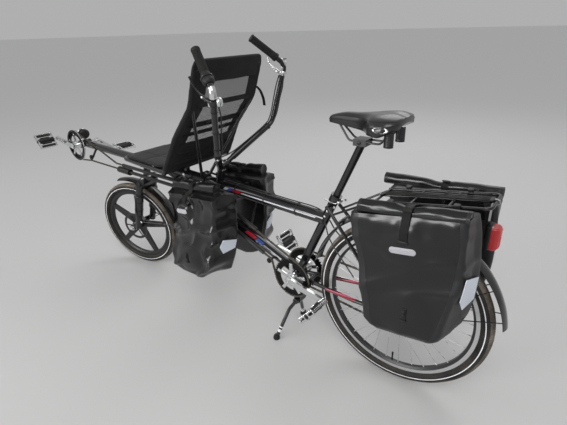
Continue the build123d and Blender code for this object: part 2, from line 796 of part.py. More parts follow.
def seat_back():
    """The tube loop round the back rest."""
    points = back_points + [flipped(p) for p in reversed(back_points)]
    return bent_rod(points, seat_tube_round, [150, 120, 55, 55, 120, 150])


def seat_cloth():
    """The cloth stretched inside the loop, as a thin bent sheet."""
    low, lumbar, bend, top = [(p[0], p[2]) for p in back_points]
    outline = [
        (low[0] - 4, low[1] + 16), lumbar, bend, (top[0] + 4, top[1] - 14),
        (top[0] + 10, top[1] - 11), (bend[0] + 6, bend[1] + 3), (lumbar[0] + 6, lumbar[1] + 3),
        (low[0] + 2, low[1] + 19),
    ]
    return side_plate(make_face(Polyline(*outline, close=True)), -168, 168)


def seat_base():
    """The tube frame of the seat base with its two posts on the main beam."""
    corners = [base_rear, base_front, flipped(base_front), flipped(base_rear)]
    solid = bent_rod(corners, 9, [50, 50])
    solid += rod(base_rear, flipped(base_rear), 9)
    for x in (1085, 1315):
        share = (x - base_rear[0]) / (base_front[0] - base_rear[0])
        z = base_rear[2] + share * (base_front[2] - base_rear[2])
        y = base_rear[1] + share * (base_front[1] - base_rear[1])
        solid += rod((x, -y, z), (x, y, z), 8)
        solid += rod((x, 0, beam_z(x)), (x, 0, z), 14)
    return solid - rod(at(*beam_start), at(*beam_end), beam_r)


def seat_cushion():
    """The thin cushion on the base frame."""
    slope = Vector(base_front[0] - base_rear[0], 0, base_front[2] - base_rear[2]).normalized()
    plane = Plane(origin=(base_rear[0], 0, base_rear[2]), x_dir=slope, z_dir=(-slope.Z, 0, slope.X))
    length = base_front[0] - base_rear[0]
    outline = make_face(Polyline((26, -176), (length, -150), (length, 150), (26, 176), close=True))
    pad = extrude(plane.offset(9 + seat_gap) * fillet(outline.vertices(), 30), amount=34)
    return fillet(pad.edges().group_by(Axis.Z)[-1], 9)


def seat_struts():
    """The two stays from the back rest down to a collar on the main beam."""
    x = 960.0
    foot = beam_z(x)
    collar = rod(at(x - 13, beam_z(x - 13)), at(x + 13, beam_z(x + 13)), beam_r + 6)
    for side in (-1, 1):
        collar += rod((800, side * 177, 1004), (x, side * 22, foot + 18), 7)
    return collar - rod(at(*beam_start), at(*beam_end), beam_r)


# Racks and bags
front_rail = [(704.0, 602.0), (1030.0, 632.0)]
front_rack_half = 74.0
lamp_plate = 12.0


def rack_point(distance, y=0.0):
    """A point of the rear rack's deck, measured back from its front."""
    x, z = along_angle(rack_front, distance, 180 - rack_slope)
    return Vector(x, y, z)


def rear_rack(stays):
    """The rear carrier: a bent outer rod, cross bars, legs to the dropouts and stays to the seatstays."""
    corners = [(-6, 1), (rack_length, 1), (rack_length, -1), (-6, -1)]
    solid = bent_rod([rack_point(distance, side * rack_half) for distance, side in corners], rack_rod_r, 22)
    for distance in (0, 120, 235):
        solid += rod(rack_point(distance, -rack_half), rack_point(distance, rack_half), rack_rod_r - 0.5)
    solid += rod(rack_point(-4), rack_point(rack_length), rack_rod_r - 1)
    for side in (-1, 1):
        eyelet = Vector(-14, side * (dropout_y + 8), rear_tyre_r + 24)
        solid += rod(eyelet - Vector(0, side * 4, 0), eyelet + Vector(0, side * 3, 0), 7)
        for distance in (70, 190):
            solid += rod(eyelet, rack_point(distance, side * rack_half), rack_rod_r - 0.3)
        solid += rod(rack_point(3, side * (rack_half - 8)), stay_point(0.07, side), 4)
    tail = rack_point(rack_length)
    solid += side_plate(Rectangle(3, 110), -22, 22, tail.X + lamp_plate, tail.Z - 58)
    return solid - stays


def bag(outline, roll, roll_y, roll_r, inner, outer, hooks, rail_y):
    """A roll-top pannier: a soft box with a rolled top and two hooks on its carrier's rail."""
    face = fillet(make_face(Polyline(*outline, close=True)).vertices(), 26)
    body = side_plate(face, inner, outer)
    outside = body.faces().sort_by(Axis.Y)[-1]
    body = fillet(outside.edges(), 20)
    start, end = roll
    body += rod(at(*start, roll_y), at(*end, roll_y), roll_r)
    pieces = [body]
    rail_outer = rail_y + rack_rod_r + seat_gap
    for x, z in hooks:
        over = side_plate(Pos(x, z + rack_rod_r + 5) * Rectangle(18, 5), rail_y - 4, inner + 4)
        beside = side_plate(Pos(x, z - 9) * Rectangle(18, 43), rail_outer + 0.2, inner + 4)
        pieces.append(over + beside - body)
    return Compound(pieces)


def rear_bag(top, roll, roll_y, roll_r):
    """A rear pannier on the left, from its two top corners and its roll, both given above the rack's front."""
    low = rack_front[1]
    (front, front_rise), (back, back_rise) = top
    outline = [(front, low + front_rise), (38, low - 389), (-189, low - 359), (back, low + back_rise)]
    line = [(x, low + rise) for x, rise in roll]
    hooks = [(rack_point(60).X, rack_point(60).Z), (rack_point(260).X, rack_point(260).Z)]
    return bag(outline, line, roll_y, roll_r, bag_inner_y, bag_outer_y, hooks, rack_half)


def front_bag():
    """The left front pannier."""
    outline = [(1032, 628), (1018, 245), (818, 232), (698, 655)]
    hooks = [(x, line_z(*front_rail, x)) for x in (780, 960)]
    inner = front_rack_half + rack_rod_r + 9
    return bag(outline, [(985, 648), (735, 672)], inner + 64, 24, inner, inner + 128, hooks, front_rack_half)


def front_rack():
    """The low carrier under the seat: two rails, two cross bars through the beam and a hoop each side."""
    beam = rod(at(*beam_start), at(*beam_end), beam_r)
    (x0, z0), (x1, z1) = front_rail
    sides = []
    for side in (-1, 1):
        y = side * front_rack_half
        hoop = [(x0, y, z0), (x0 + 60, y, 400), (x1 - 60, y, 400), (x1, y, z1)]
        frame = rod((x0, y, z0), (x1, y, z1), rack_rod_r) + bent_rod(hoop, rack_rod_r, 40)
        for x, z in front_rail:
            frame += Pos(x, y, z) * Sphere(rack_rod_r)
        sides.append(frame)
    bars = []
    for x, z in front_rail:
        bar = rod((x, -front_rack_half, z), (x, front_rack_half, z), rack_rod_r - 0.5)
        bars += (bar - beam - sides[0] - sides[1]).solids()
    return Compound(sides + bars)


# Small fittings
def saddle():
    """A broad touring saddle with two rear springs, on a clamp at the post's head."""
    clamp = on_seat_tube(seat_post_top)
    rim = [ThreePointArc((290, -17), (303, 0), (290, 17))]
    for side in (-1, 1):
        rim.append(Line((290, 17 * side), (192, 31 * side)))
        rim.append(ThreePointArc((192, 31 * side), (152, 50 * side), (122, 90 * side)))
        rim.append(ThreePointArc((122, 90 * side), (84, 102 * side), (46, 88 * side)))
        rim.append(ThreePointArc((46, 88 * side), (29, 52 * side), (38, 0)))
    pad = extrude(Plane.XY.offset(938) * make_face(rim), amount=90)
    side_line = [(22, 1004), (72, 1016), (150, 1008), (246, 1001), (300, 985), (305, 962), (190, 952),
                 (81, 948), (24, 976)]
    pad &= side_plate(make_face(Polyline(*side_line, close=True)), -120, 120)
    rails = None
    for edge in (-1, 1):
        bar = bent_rod([(66, edge * 30, 960), (104, edge * 22, clamp.Z + 8), (215, edge * 22, clamp.Z + 8),
                        (258, edge * 10, 960)], 3.5, 20)
        spring = rod((66, edge * 46, 914), (66, edge * 46, 960), 15)
        link = rod((66, edge * 24, 928), (66, edge * 46, 928), 5)
        link += rod((66, edge * 26, 923), (66, edge * 28, 960), 5)
        rails = bar + spring + link if rails is None else rails + bar + spring + link
    block = Pos(clamp.X, 0, clamp.Z + 4) * Box(46, 52, 22)
    post = rod(on_seat_tube(seat_tube_top), clamp, seat_post_r)
    return pad, rails + block - pad - post


def rear_light():
    """The tall rear lamp on the back of the rack's plate."""
    tail = rack_point(rack_length)
    face = tail.X + lamp_plate - 1.5
    housing = Pos(face - 20, 0, tail.Z - 111) * Box(40, 52, 75)
    return fillet(housing.edges().filter_by(Axis.Y), 6)


def front_light():
    """The round headlamp on its bracket over the front of the boom."""
    x, z = front_bb[0] - 8, front_bb[1] + 58
    lamp = rod((x - 22, 0, z), (x + 26, 0, z), 27)
    lamp = fillet(lamp.edges().group_by(Axis.X)[0], 10)
    stalk = rod((x - 4, 0, z - 20), (x - 4, 0, front_bb[1]), 6)
    return lamp + stalk - across(front_bb[0], front_bb[1], -40, 40, bb_shell_r) - boom_rod()


def boom_rod():
    """The boom's tube as a plain bar, to seat pieces on."""
    start = at(*beam_end) - beam_dir * boom_overlap
    return rod(start, at(*front_bb), boom_r)


def chain_idlers():
    """The tensioner, a wheel on an arm that hangs from the boom, and the idler wheel on the down tube."""
    x, z = tensioner
    wheel = across(x, z, timing_y - 4, timing_y + 4, tensioner_r)
    arm = rod((x, 14, z + 40), (x, timing_y - 10, z), 6)
    pin = across(x, z, timing_y - 14, timing_y + 8, 5)
    idler = across(rear_idler[0], rear_idler[1], timing_y - 3, timing_y + 3, rear_idler_r)
    idler += across(rear_idler[0], rear_idler[1], 14, timing_y + 8, 5)
    return Compound([wheel + pin + arm - boom_rod(), idler - tubes["down_tube"]])


def derailleur():
    """The rear derailleur: hanger knuckle, cage plates and two wheels."""
    gx, gz = guide_pulley
    tx, tz = tension_pulley
    slope = degrees(atan2(tz - gz, tx - gx))
    length = sqrt((tx - gx) ** 2 + (tz - gz) ** 2)
    shape = Pos((gx + tx) / 2, (gz + tz) / 2) * Rot(0, 0, slope) * RectangleRounded(length + 24, 22, 10)
    solid = side_plate(shape, drive_y - 10, drive_y - 7)
    solid += side_plate(shape, drive_y + 7, drive_y + 9)
    for x, z in (guide_pulley, tension_pulley):
        solid += across(x, z, drive_y - 3, drive_y + 3, pulley_r)
        solid += across(x, z, drive_y - 10, drive_y + 9, 4)
    knuckle = rod((gx, drive_y - 18, gz), (8, -dropout_y - 8, rear_tyre_r - 32), 8)
    boss = across(8, rear_tyre_r - 32, -dropout_y - 14, -dropout_y + 3, 9)
    hanger = side_plate(Pos(4, rear_tyre_r - 24) * Rectangle(15, 20), -dropout_y - 3, -dropout_y + 3)
    return solid + knuckle + boss + hanger


def drive_chain():
    """The chain from the big ring to the sprocket in use and through the derailleur."""
    ring = wrap_radius(big_ring_teeth)
    cog = wrap_radius(cassette_teeth[drive_sprocket])
    hub = (0.0, rear_tyre_r)
    tilt = degrees(atan2(rear_bb[1] - hub[1], rear_bb[0] - hub[0]))
    gain = degrees(atan2(ring - cog, sqrt(rear_bb[0] ** 2)))
    up = 90 + tilt + gain
    cog_top = along_angle(hub, cog, up)
    ring_top = along_angle(rear_bb, ring, up)
    cog_low = along_angle(hub, cog, 325)
    path = [
        cog_low, (guide_pulley[0] + 26, guide_pulley[1] + 14), (guide_pulley[0] + 19, guide_pulley[1] - 6),
        (tension_pulley[0] - 19, tension_pulley[1] + 6), (tension_pulley[0] - 13.5, tension_pulley[1] - 15.5),
        (tension_pulley[0], tension_pulley[1] - 19),
    ]
    ring_low = tangent_point(path[-1], rear_bb, ring, -1)
    outline = chain_run(cog_top, ring_top) + chain_run(path[-1], ring_low)
    for start, end in zip(path[:-1], path[1:]):
        outline += chain_run(start, end)
    outline += chain_wrap(hub, cog, up, 325)
    outline += chain_wrap(rear_bb, ring, angle_of(rear_bb, ring_low) - 360, up)
    return side_plate(outline, drive_y - 2.5, drive_y + 2.5)


def rear_guard(stays):
    """The rear mudguard with its wire stays."""
    inner = rear_tyre_r + guard_gap
    shell = Pos(0, 0, rear_tyre_r) * guard_shell(inner, 12, 171)
    for side in (-1, 1):
        foot = Vector(-30, side * dropout_y, rear_tyre_r + 4)
        for angle in (148, 166):
            x, z = along_angle((0, rear_tyre_r), inner + 1, angle)
            shell += rod(foot, (x, side * (guard_width / 2 - 1), z), 1.8)
        shell += rod((-12, foot.Y, rear_tyre_r), foot, 4)
    return shell - stays


parts = {}
tubes = frame_tubes()
parts.update(tubes)
rear = rear_stays()
parts.update(rear)
stays = rear["chainstays"] + rear["seatstays"]

parts["rear_tyre"] = wheel_place(0, rear_tyre_r) * tyre(rear_tyre_r, rear_rim_r)
rim, hub, spokes = rear_wheel()
parts["rear_rim"] = wheel_place(0, rear_tyre_r) * rim
parts["rear_hub"] = wheel_place(0, rear_tyre_r) * hub
parts["rear_spokes"] = wheel_place(0, rear_tyre_r) * spokes
cogs = []
for number, teeth in enumerate(cassette_teeth):
    y = drive_y + (drive_sprocket - number) * cassette_step
    cogs.append(sprocket(teeth, 12, y))
carrier = rod((0, drive_y - 5, 0), (0, -34, 0), 19) - rod((0, -90, 0), (0, 0, 0), 12)
parts["rear_cassette"] = wheel_place(0, rear_tyre_r) * (fused(carrier, *cogs))

front_place = Pos(front_axle.X, 0, front_axle.Z)
mag, axle, rotor = mag_wheel()
parts["front_tyre"] = turned(front_place * tyre(front_tyre_r, front_rim_r), steer_axis)
parts["front_mag_rim"] = turned(front_place * mag, steer_axis)
parts["front_axle"] = turned(front_place * (axle + rotor), steer_axis)

fork_solid = fork()
parts["fork"] = turned(fork_solid, steer_axis)
parts["front_mudguard"] = turned(front_guard() - fork_solid, steer_axis)
parts["front_caliper"] = turned(caliper(fork_solid), steer_axis)

bar = handlebar()
parts["handlebar"] = turned(bar, bar_axis)
parts["handlebar_stem"] = turned(stem(bar), bar_axis)
parts["grips"] = turned(grips(), bar_axis)
parts["brake_levers"] = turned(controls(), bar_axis)
parts["bell"] = turned(bell(), bar_axis)
parts["steering_rod"] = push_rod()

parts["rear_crankset"] = crankset(rear_bb, rear_crank_angle, [(1, timing_y, 72), (-1, drive_y, 72)])
parts["front_crankset"] = crankset(front_bb, front_crank_angle, [(1, timing_y, 72)])
rear_ring = placed_sprocket(timing_teeth, 58, timing_y, rear_bb)
drive_ring = placed_sprocket(big_ring_teeth, 58, drive_y, rear_bb)
parts["rear_chainrings"] = Compound([rear_ring, drive_ring])
parts["front_chainring"] = placed_sprocket(timing_teeth, 58, timing_y, front_bb)
for name, bb, angle in (("rear", rear_bb, rear_crank_angle), ("front", front_bb, front_crank_angle)):
    left_tilt, right_tilt = pedal_tilts[name]
    parts[name + "_left_pedal"] = pedal(bb, angle, 1, left_tilt)
    parts[name + "_right_pedal"] = pedal(bb, angle + 180, -1, right_tilt)

parts["seat_tube"] += stand_bracket() - tubes["down_tube"] - rear["chainstays"]
parts["centre_stand"] = stand()

loop = seat_back()
struts = seat_struts() - loop
parts["seat_back_frame"] = loop + struts
parts["seat_back_cloth"] = seat_cloth() - loop - struts
parts["seat_base_frame"] = seat_base() - loop
parts["seat_cushion"] = seat_cushion()

parts["rear_rack"] = rear_rack(stays)
parts["left_rear_pannier"] = rear_bag([(112, 7), (-227, 61)], [(85, 31), (-232, 62)], 184, 22)
right_bag = rear_bag([(112, 0), (-235, 24)], [(150, 6), (-248, 26)], 160, 20)
parts["right_rear_pannier"] = mirror(right_bag, about=Plane.XZ)
parts["front_rack"] = front_rack()
parts["left_front_pannier"] = front_bag()
parts["right_front_pannier"] = mirror(front_bag(), about=Plane.XZ)

pad, under = saddle()
parts["saddle"] = pad
parts["saddle_rails"] = under
parts["rear_light"] = rear_light()
parts["front_light"] = front_light()
parts["chain_tensioner"] = chain_idlers()
parts["timing_chain"] = timing_chain()
parts["chain_tubes"] = chain_tubes()
parts["drive_chain"] = drive_chain()
parts["derailleur"] = derailleur() - stays
parts["rear_mudguard"] = rear_guard(stays)

os.makedirs("parts", exist_ok=True)
for name, solid in parts.items():
    export_step(solid, "parts/" + name + ".step")
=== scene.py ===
import math
import random

import bmesh
import bpy
from mathutils import Matrix, Vector, noise


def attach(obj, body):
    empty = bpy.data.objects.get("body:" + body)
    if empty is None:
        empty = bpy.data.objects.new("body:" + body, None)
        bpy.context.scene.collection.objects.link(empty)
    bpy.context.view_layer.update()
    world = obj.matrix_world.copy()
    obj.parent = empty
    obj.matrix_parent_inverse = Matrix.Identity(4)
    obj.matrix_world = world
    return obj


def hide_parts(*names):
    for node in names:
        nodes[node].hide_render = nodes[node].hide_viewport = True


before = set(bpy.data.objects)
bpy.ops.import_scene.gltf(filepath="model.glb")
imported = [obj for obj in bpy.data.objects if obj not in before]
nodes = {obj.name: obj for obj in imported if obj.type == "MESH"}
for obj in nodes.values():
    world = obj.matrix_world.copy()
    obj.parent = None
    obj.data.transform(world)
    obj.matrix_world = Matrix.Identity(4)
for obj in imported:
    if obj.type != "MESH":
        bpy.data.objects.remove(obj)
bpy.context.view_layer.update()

# Sizes shared with the frame, in millimetres
MM = 0.001
REST_TURN = 13.0
STEER_LEAN = math.radians(74.0)
STEER_DIR = Vector((-math.cos(STEER_LEAN), 0, math.sin(STEER_LEAN)))
STEER_SIDE = Vector((math.sin(STEER_LEAN), 0, math.cos(STEER_LEAN)))
REAR_AXLE = Vector((0, 0, 326.5))
FRONT_AXLE = Vector((1549.0, 0, 249.79))
STEER_FOOT = FRONT_AXLE - STEER_SIDE * 40.0
BAR_PIVOT = Vector((847.0, 0, 714.0))
REAR_BB = Vector((440.0, 0, 305.0))
FRONT_BB = Vector((1985.0, 0, 660.0))
BEAM_START = Vector((312.0, 0, 592.0))
BEAM_END = Vector((1450.0, 0, 646.0))
CHAIN_PITCH = 12.7
TIMING_TEETH = 42
DRIVE_TEETH = 44
TIMING_Y = 52.0
DRIVE_Y = -53.0


def turn_about(point, direction, angle):
    """The transform that turns things about a line."""
    there = Matrix.Translation(point)
    return there @ Matrix.Rotation(math.radians(angle), 4, direction) @ there.inverted()


FORK_TURN = turn_about(STEER_FOOT, STEER_DIR, REST_TURN)
BAR_TURN = turn_about(BAR_PIVOT, STEER_DIR, REST_TURN)


def beam_point(x, y=0.0, up=0.0):
    """A point of the main beam's centre line, or beside it."""
    share = (x - BEAM_START.x) / (BEAM_END.x - BEAM_START.x)
    return Vector((x, y, BEAM_START.z + share * (BEAM_END.z - BEAM_START.z) + up))


# Camera at the photograph's angle
FOCAL_PX = 415.334
YAW = math.radians(-52.866)
PITCH = math.radians(23.947)
ROLL = math.radians(-1.517)
ahead = Vector((math.cos(YAW) * math.cos(PITCH), math.sin(YAW) * math.cos(PITCH), -math.sin(PITCH)))
level_right = Vector((math.sin(YAW), -math.cos(YAW), 0))
level_up = level_right.cross(ahead)
image_right = math.cos(ROLL) * level_right + math.sin(ROLL) * level_up
image_up = -math.sin(ROLL) * level_right + math.cos(ROLL) * level_up
camera_data = bpy.data.cameras.new("photo_camera")
camera_data.sensor_fit = "HORIZONTAL"
camera_data.sensor_width = 36.0
camera_data.lens = 36.0 * FOCAL_PX / 567.0
camera_data.clip_start = 0.02
camera_data.clip_end = 400.0
camera = bpy.data.objects.new("photo_camera", camera_data)
bpy.context.scene.collection.objects.link(camera)
axes = Matrix((image_right, image_up, -ahead)).transposed()
camera.matrix_world = Matrix.Translation(Vector((-0.4281, 1.2443, 1.2598))) @ axes.to_4x4()
bpy.context.scene.camera = camera


# Shader node groups
def new_group(name, inputs, outputs):
    """An empty node group with named sockets: (name, type, default) in, (name, type) out."""
    group = bpy.data.node_groups.new(name, "ShaderNodeTree")
    for label, kind, value in inputs:
        socket = group.interface.new_socket(name=label, in_out="INPUT", socket_type=kind)
        socket.default_value = value
    for label, kind in outputs:
        group.interface.new_socket(name=label, in_out="OUTPUT", socket_type=kind)
    return group


class Wiring:
    """Adds and joins the nodes of one tree."""

    def __init__(self, tree):
        self.tree = tree

    def add(self, kind, values=None, **settings):
        node = self.tree.nodes.new(kind)
        for key, value in settings.items():
            setattr(node, key, value)
        for key, value in (values or {}).items():
            if hasattr(value, "is_output"):
                self.tree.links.new(value, node.inputs[key])
            else:
                node.inputs[key].default_value = value
        return node

    def sum(self, operation, first, second=0.0, third=None):
        values = {0: first, 1: second}
        if third is not None:
            values[2] = third
        return self.add("ShaderNodeMath", values, operation=operation).outputs[0]

    def place(self):
        return self.add("ShaderNodeTexCoord").outputs["Object"]

    def noise(self, vector, scale, detail=2.0, rough=0.5):
        values = {"Vector": vector, "Scale": scale, "Detail": detail, "Roughness": rough}
        return self.add("ShaderNodeTexNoise", values).outputs["Fac"]

    def ramp(self, value, low, high):
        values = {"Value": value, "From Min": low, "From Max": high}
        return self.add("ShaderNodeMapRange", values, clamp=True).outputs["Result"]

    def mix(self, share, first, second):
        node = self.add("ShaderNodeMix", data_type="RGBA")
        for socket, value in ((node.inputs[0], share), (node.inputs[6], first), (node.inputs[7], second)):
            if hasattr(value, "is_output"):
                self.tree.links.new(value, socket)
            else:
                socket.default_value = value
        return node.outputs[2]


def group_wiring(group):
    """The wiring of a group with its input and output nodes."""
    wiring = Wiring(group)
    return wiring, wiring.add("NodeGroupInput").outputs, wiring.add("NodeGroupOutput").inputs


def build_dusting():
    """Road dust: a little all over in patches, more on what faces up."""
    group = new_group(
        "dusting",
        [("Clean", "NodeSocketColor", (0, 0, 0, 1)), ("Dust", "NodeSocketColor", (0.3, 0.26, 0.2, 1)),
         ("Amount", "NodeSocketFloat", 0.3), ("Scale", "NodeSocketFloat", 14.0),
         ("Gloss", "NodeSocketFloat", 0.3)],
        [("Color", "NodeSocketColor"), ("Roughness", "NodeSocketFloat")],
    )
    w, given, out = group_wiring(group)
    patches = w.noise(w.place(), given["Scale"], 5.0, 0.6)
    grit = w.noise(w.place(), 420.0, 2.0, 0.7)
    normal = w.add("ShaderNodeNewGeometry").outputs["Normal"]
    up = w.add("ShaderNodeSeparateXYZ", {0: normal}).outputs["Z"]
    facing = w.ramp(up, 0.1, 1.0)
    amount = w.sum("MULTIPLY", w.ramp(patches, 0.35, 0.75), given["Amount"])
    raised = w.sum("MULTIPLY_ADD", w.sum("MULTIPLY", facing, given["Amount"]), 0.6, amount)
    share = w.sum("MULTIPLY", raised, w.ramp(grit, 0.2, 0.7))
    w.tree.links.new(w.mix(share, given["Clean"], given["Dust"]), out["Color"])
    w.tree.links.new(w.sum("MULTIPLY_ADD", share, 0.5, given["Gloss"]), out["Roughness"])
    return group


def build_band():
    """A painted stripe along a tube, also used for the painted highlight lines on the frame: mask by place
    along the bicycle and height across the slope.
    """
    group = new_group(
        "band",
        [("Start", "NodeSocketFloat", 0.0), ("End", "NodeSocketFloat", 1.0),
         ("Slope", "NodeSocketFloat", 0.0),
         ("Height", "NodeSocketFloat", 0.0), ("Half", "NodeSocketFloat", 0.005),
         ("Slant", "NodeSocketFloat", 1.0)],
        [("Mask", "NodeSocketFloat")],
    )
    w, given, out = group_wiring(group)
    place = w.add("ShaderNodeSeparateXYZ", {0: w.place()}).outputs
    line = w.sum("MULTIPLY_ADD", place["X"], given["Slope"], given["Height"])
    off = w.sum("SUBTRACT", place["Z"], line)
    along = w.sum("MULTIPLY_ADD", off, given["Slant"], place["X"])
    inside = w.sum("MULTIPLY", w.sum("GREATER_THAN", along, given["Start"]),
                   w.sum("LESS_THAN", along, given["End"]))
    narrow = w.sum("LESS_THAN", w.sum("ABSOLUTE", off), given["Half"])
    w.tree.links.new(w.sum("MULTIPLY", inside, narrow), out["Mask"])
    return group


def build_grain():
    """Fine pits of moulded plastic, rubber and leather."""
    group = new_group(
        "grain",
        [("Scale", "NodeSocketFloat", 600.0), ("Coarse", "NodeSocketFloat", 60.0),
         ("Share", "NodeSocketFloat", 0.5)],
        [("Height", "NodeSocketFloat")],
    )
    w, given, out = group_wiring(group)
    place = w.place()
    fine = w.add("ShaderNodeTexVoronoi", {"Vector": place, "Scale": given["Scale"]}).outputs["Distance"]
    broad = w.noise(place, given["Coarse"], 4.0, 0.6)
    w.tree.links.new(w.sum("MULTIPLY_ADD", broad, given["Share"], fine), out["Height"])
    return group


def build_weave():
    """Crossed threads with holes between them."""
    group = new_group(
        "weave",
        [("Threads", "NodeSocketFloat", 700.0), ("Hole", "NodeSocketFloat", 0.3)],
        [("Height", "NodeSocketFloat"), ("Cloth", "NodeSocketFloat")],
    )
    w, given, out = group_wiring(group)
    place = w.add("ShaderNodeSeparateXYZ", {0: w.place()}).outputs
    length = w.sum("MULTIPLY", w.sum("SUBTRACT", place["Z"], place["X"]), given["Threads"])
    width = w.sum("MULTIPLY", place["Y"], given["Threads"])
    warp = w.sum("ABSOLUTE", w.sum("SINE", width))
    weft = w.sum("ABSOLUTE", w.sum("SINE", length))
    height = w.sum("MAXIMUM", warp, weft)
    w.tree.links.new(height, out["Height"])
    w.tree.links.new(w.ramp(height, given["Hole"], w.sum("ADD", given["Hole"], 0.2)), out["Cloth"])
    return group


def build_crinkle():
    """Soft creases and small dents of coated cloth."""
    group = new_group(
        "crinkle",
        [("Scale", "NodeSocketFloat", 9.0), ("Fine", "NodeSocketFloat", 900.0)],
        [("Height", "NodeSocketFloat"), ("Worn", "NodeSocketFloat")],
    )
    w, given, out = group_wiring(group)
    place = w.place()
    creases = w.add(
        "ShaderNodeTexNoise",
        {"Vector": place, "Scale": given["Scale"], "Detail": 5.0, "Roughness": 0.55, "Distortion": 0.6},
        noise_type="RIDGED_MULTIFRACTAL",
    ).outputs["Fac"]
    thread = w.noise(place, given["Fine"], 1.0, 0.5)
    w.tree.links.new(w.sum("MULTIPLY_ADD", thread, 0.03, creases), out["Height"])
    w.tree.links.new(w.ramp(w.noise(place, 22.0, 6.0, 0.65), 0.45, 0.8), out["Worn"])
    return group


def build_scratches():
    """Fine long scratches and dull spots of handled metal."""
    group = new_group(
        "scratches",
        [("Gloss", "NodeSocketFloat", 0.25), ("Depth", "NodeSocketFloat", 0.2)],
        [("Roughness", "NodeSocketFloat"), ("Height", "NodeSocketFloat")],
    )
    w, given, out = group_wiring(group)
    stretch = w.add("ShaderNodeMapping", {"Vector": w.place(), "Scale": (40.0, 900.0, 220.0)}).outputs[0]
    lines = w.noise(stretch, 1.0, 3.0, 0.6)
    spots = w.noise(w.place(), 60.0, 4.0, 0.6)
    w.tree.links.new(w.sum("MULTIPLY_ADD", w.ramp(spots, 0.4, 0.8), given["Depth"], given["Gloss"]),
                     out["Roughness"])
    w.tree.links.new(lines, out["Height"])
    return group


def build_webbing():
    """The ribs of woven strap across its run."""
    group = new_group("webbing", [("Ribs", "NodeSocketFloat", 2500.0)], [("Height", "NodeSocketFloat")])
    w, given, out = group_wiring(group)
    place = w.add("ShaderNodeSeparateXYZ", {0: w.place()}).outputs
    run = w.sum("ADD", place["X"], w.sum("ADD", place["Y"], place["Z"]))
    w.tree.links.new(w.sum("SINE", w.sum("MULTIPLY", run, given["Ribs"])), out["Height"])
    return group


GROUPS = {
    "dusting": build_dusting(),
    "band": build_band(),
    "grain": build_grain(),
    "weave": build_weave(),
    "crinkle": build_crinkle(),
    "scratches": build_scratches(),
    "webbing": build_webbing(),
}


class Finish:
    """A material whose shader sits in it and whose effects come from the groups above."""

    def __init__(self, name, color, roughness=0.5, **values):
        self.material = bpy.data.materials.new(name)
        self.material.use_nodes = True
        self.w = Wiring(self.material.node_tree)
        self.shader = self.material.node_tree.nodes["Principled BSDF"]
        self.color = (*color, 1.0)
        self.shader.inputs["Base Color"].default_value = self.color
        self.shader.inputs["Roughness"].default_value = roughness
        self.roughness = roughness
        for key, value in values.items():
            self.shader.inputs[key.replace("_", " ")].default_value = value

    def effect(self, name, **values):
        node = self.w.add("ShaderNodeGroup", node_tree=GROUPS[name])
        for key, value in values.items():
            if hasattr(value, "is_output"):
                self.w.tree.links.new(value, node.inputs[key])
            else:
                node.inputs[key].default_value = value
        return node.outputs

    def link(self, value, socket):
        self.w.tree.links.new(value, self.shader.inputs[socket])
        return self

    def bump(self, height, strength, distance):
        values = {"Height": height, "Strength": strength, "Distance": distance}
        node = self.w.add("ShaderNodeBump", values)
        return self.link(node.outputs["Normal"], "Normal")

    def dusty(self, amount, dust=(0.30, 0.26, 0.21), scale=14.0, clean=None):
        """Puts dust over the clean colour, which may already vary."""
        out = self.effect("dusting", Clean=clean or self.color, Dust=(*dust, 1.0), Amount=amount, Scale=scale,
                          Gloss=self.roughness)
        return self.link(out["Color"], "Base Color").link(out["Roughness"], "Roughness")

    def grained(self, scale, strength, coarse=60.0):
        return self.bump(self.effect("grain", Scale=scale, Coarse=coarse)["Height"], strength, 0.0004)

    def scratched(self, depth=0.2, strength=0.05):
        out = self.effect("scratches", Gloss=self.roughness, Depth=depth)
        return self.link(out["Roughness"], "Roughness").bump(out["Height"], strength, 0.0002)

    def striped(self, color, *bands):
        """The clean colour with painted stripes over it; on the frame some of these are painted highlights.
        """
        current = color
        for paint, values in bands:
            mask = self.effect("band", **values)["Mask"]
            current = self.w.mix(mask, current, (*paint, 1.0))
        return current


def plain(name, color, roughness, dust=0.2, grain=None, **values):
    """A dusty finish with a fine grain."""
    made = Finish(name, color, roughness, **values)
    made.dusty(dust)
    if grain:
        made.grained(*grain)
    return made.material


BLACK = (0.006, 0.006, 0.008)
beam_slope = (BEAM_END.z - BEAM_START.z) / (BEAM_END.x - BEAM_START.x)
beam_height = (BEAM_START.z - beam_slope * BEAM_START.x) * MM
down_slope = (637.0 - 305.0) / (1250.0 - 440.0)
down_height = (305.0 - down_slope * 440.0) * MM
RED = (0.55, 0.02, 0.04)
BLUE = (0.05, 0.12, 0.45)
# Silver of the painted highlight lines on the beam and the down tube
PAINTED_HIGHLIGHT_SILVER = (0.62, 0.63, 0.66)


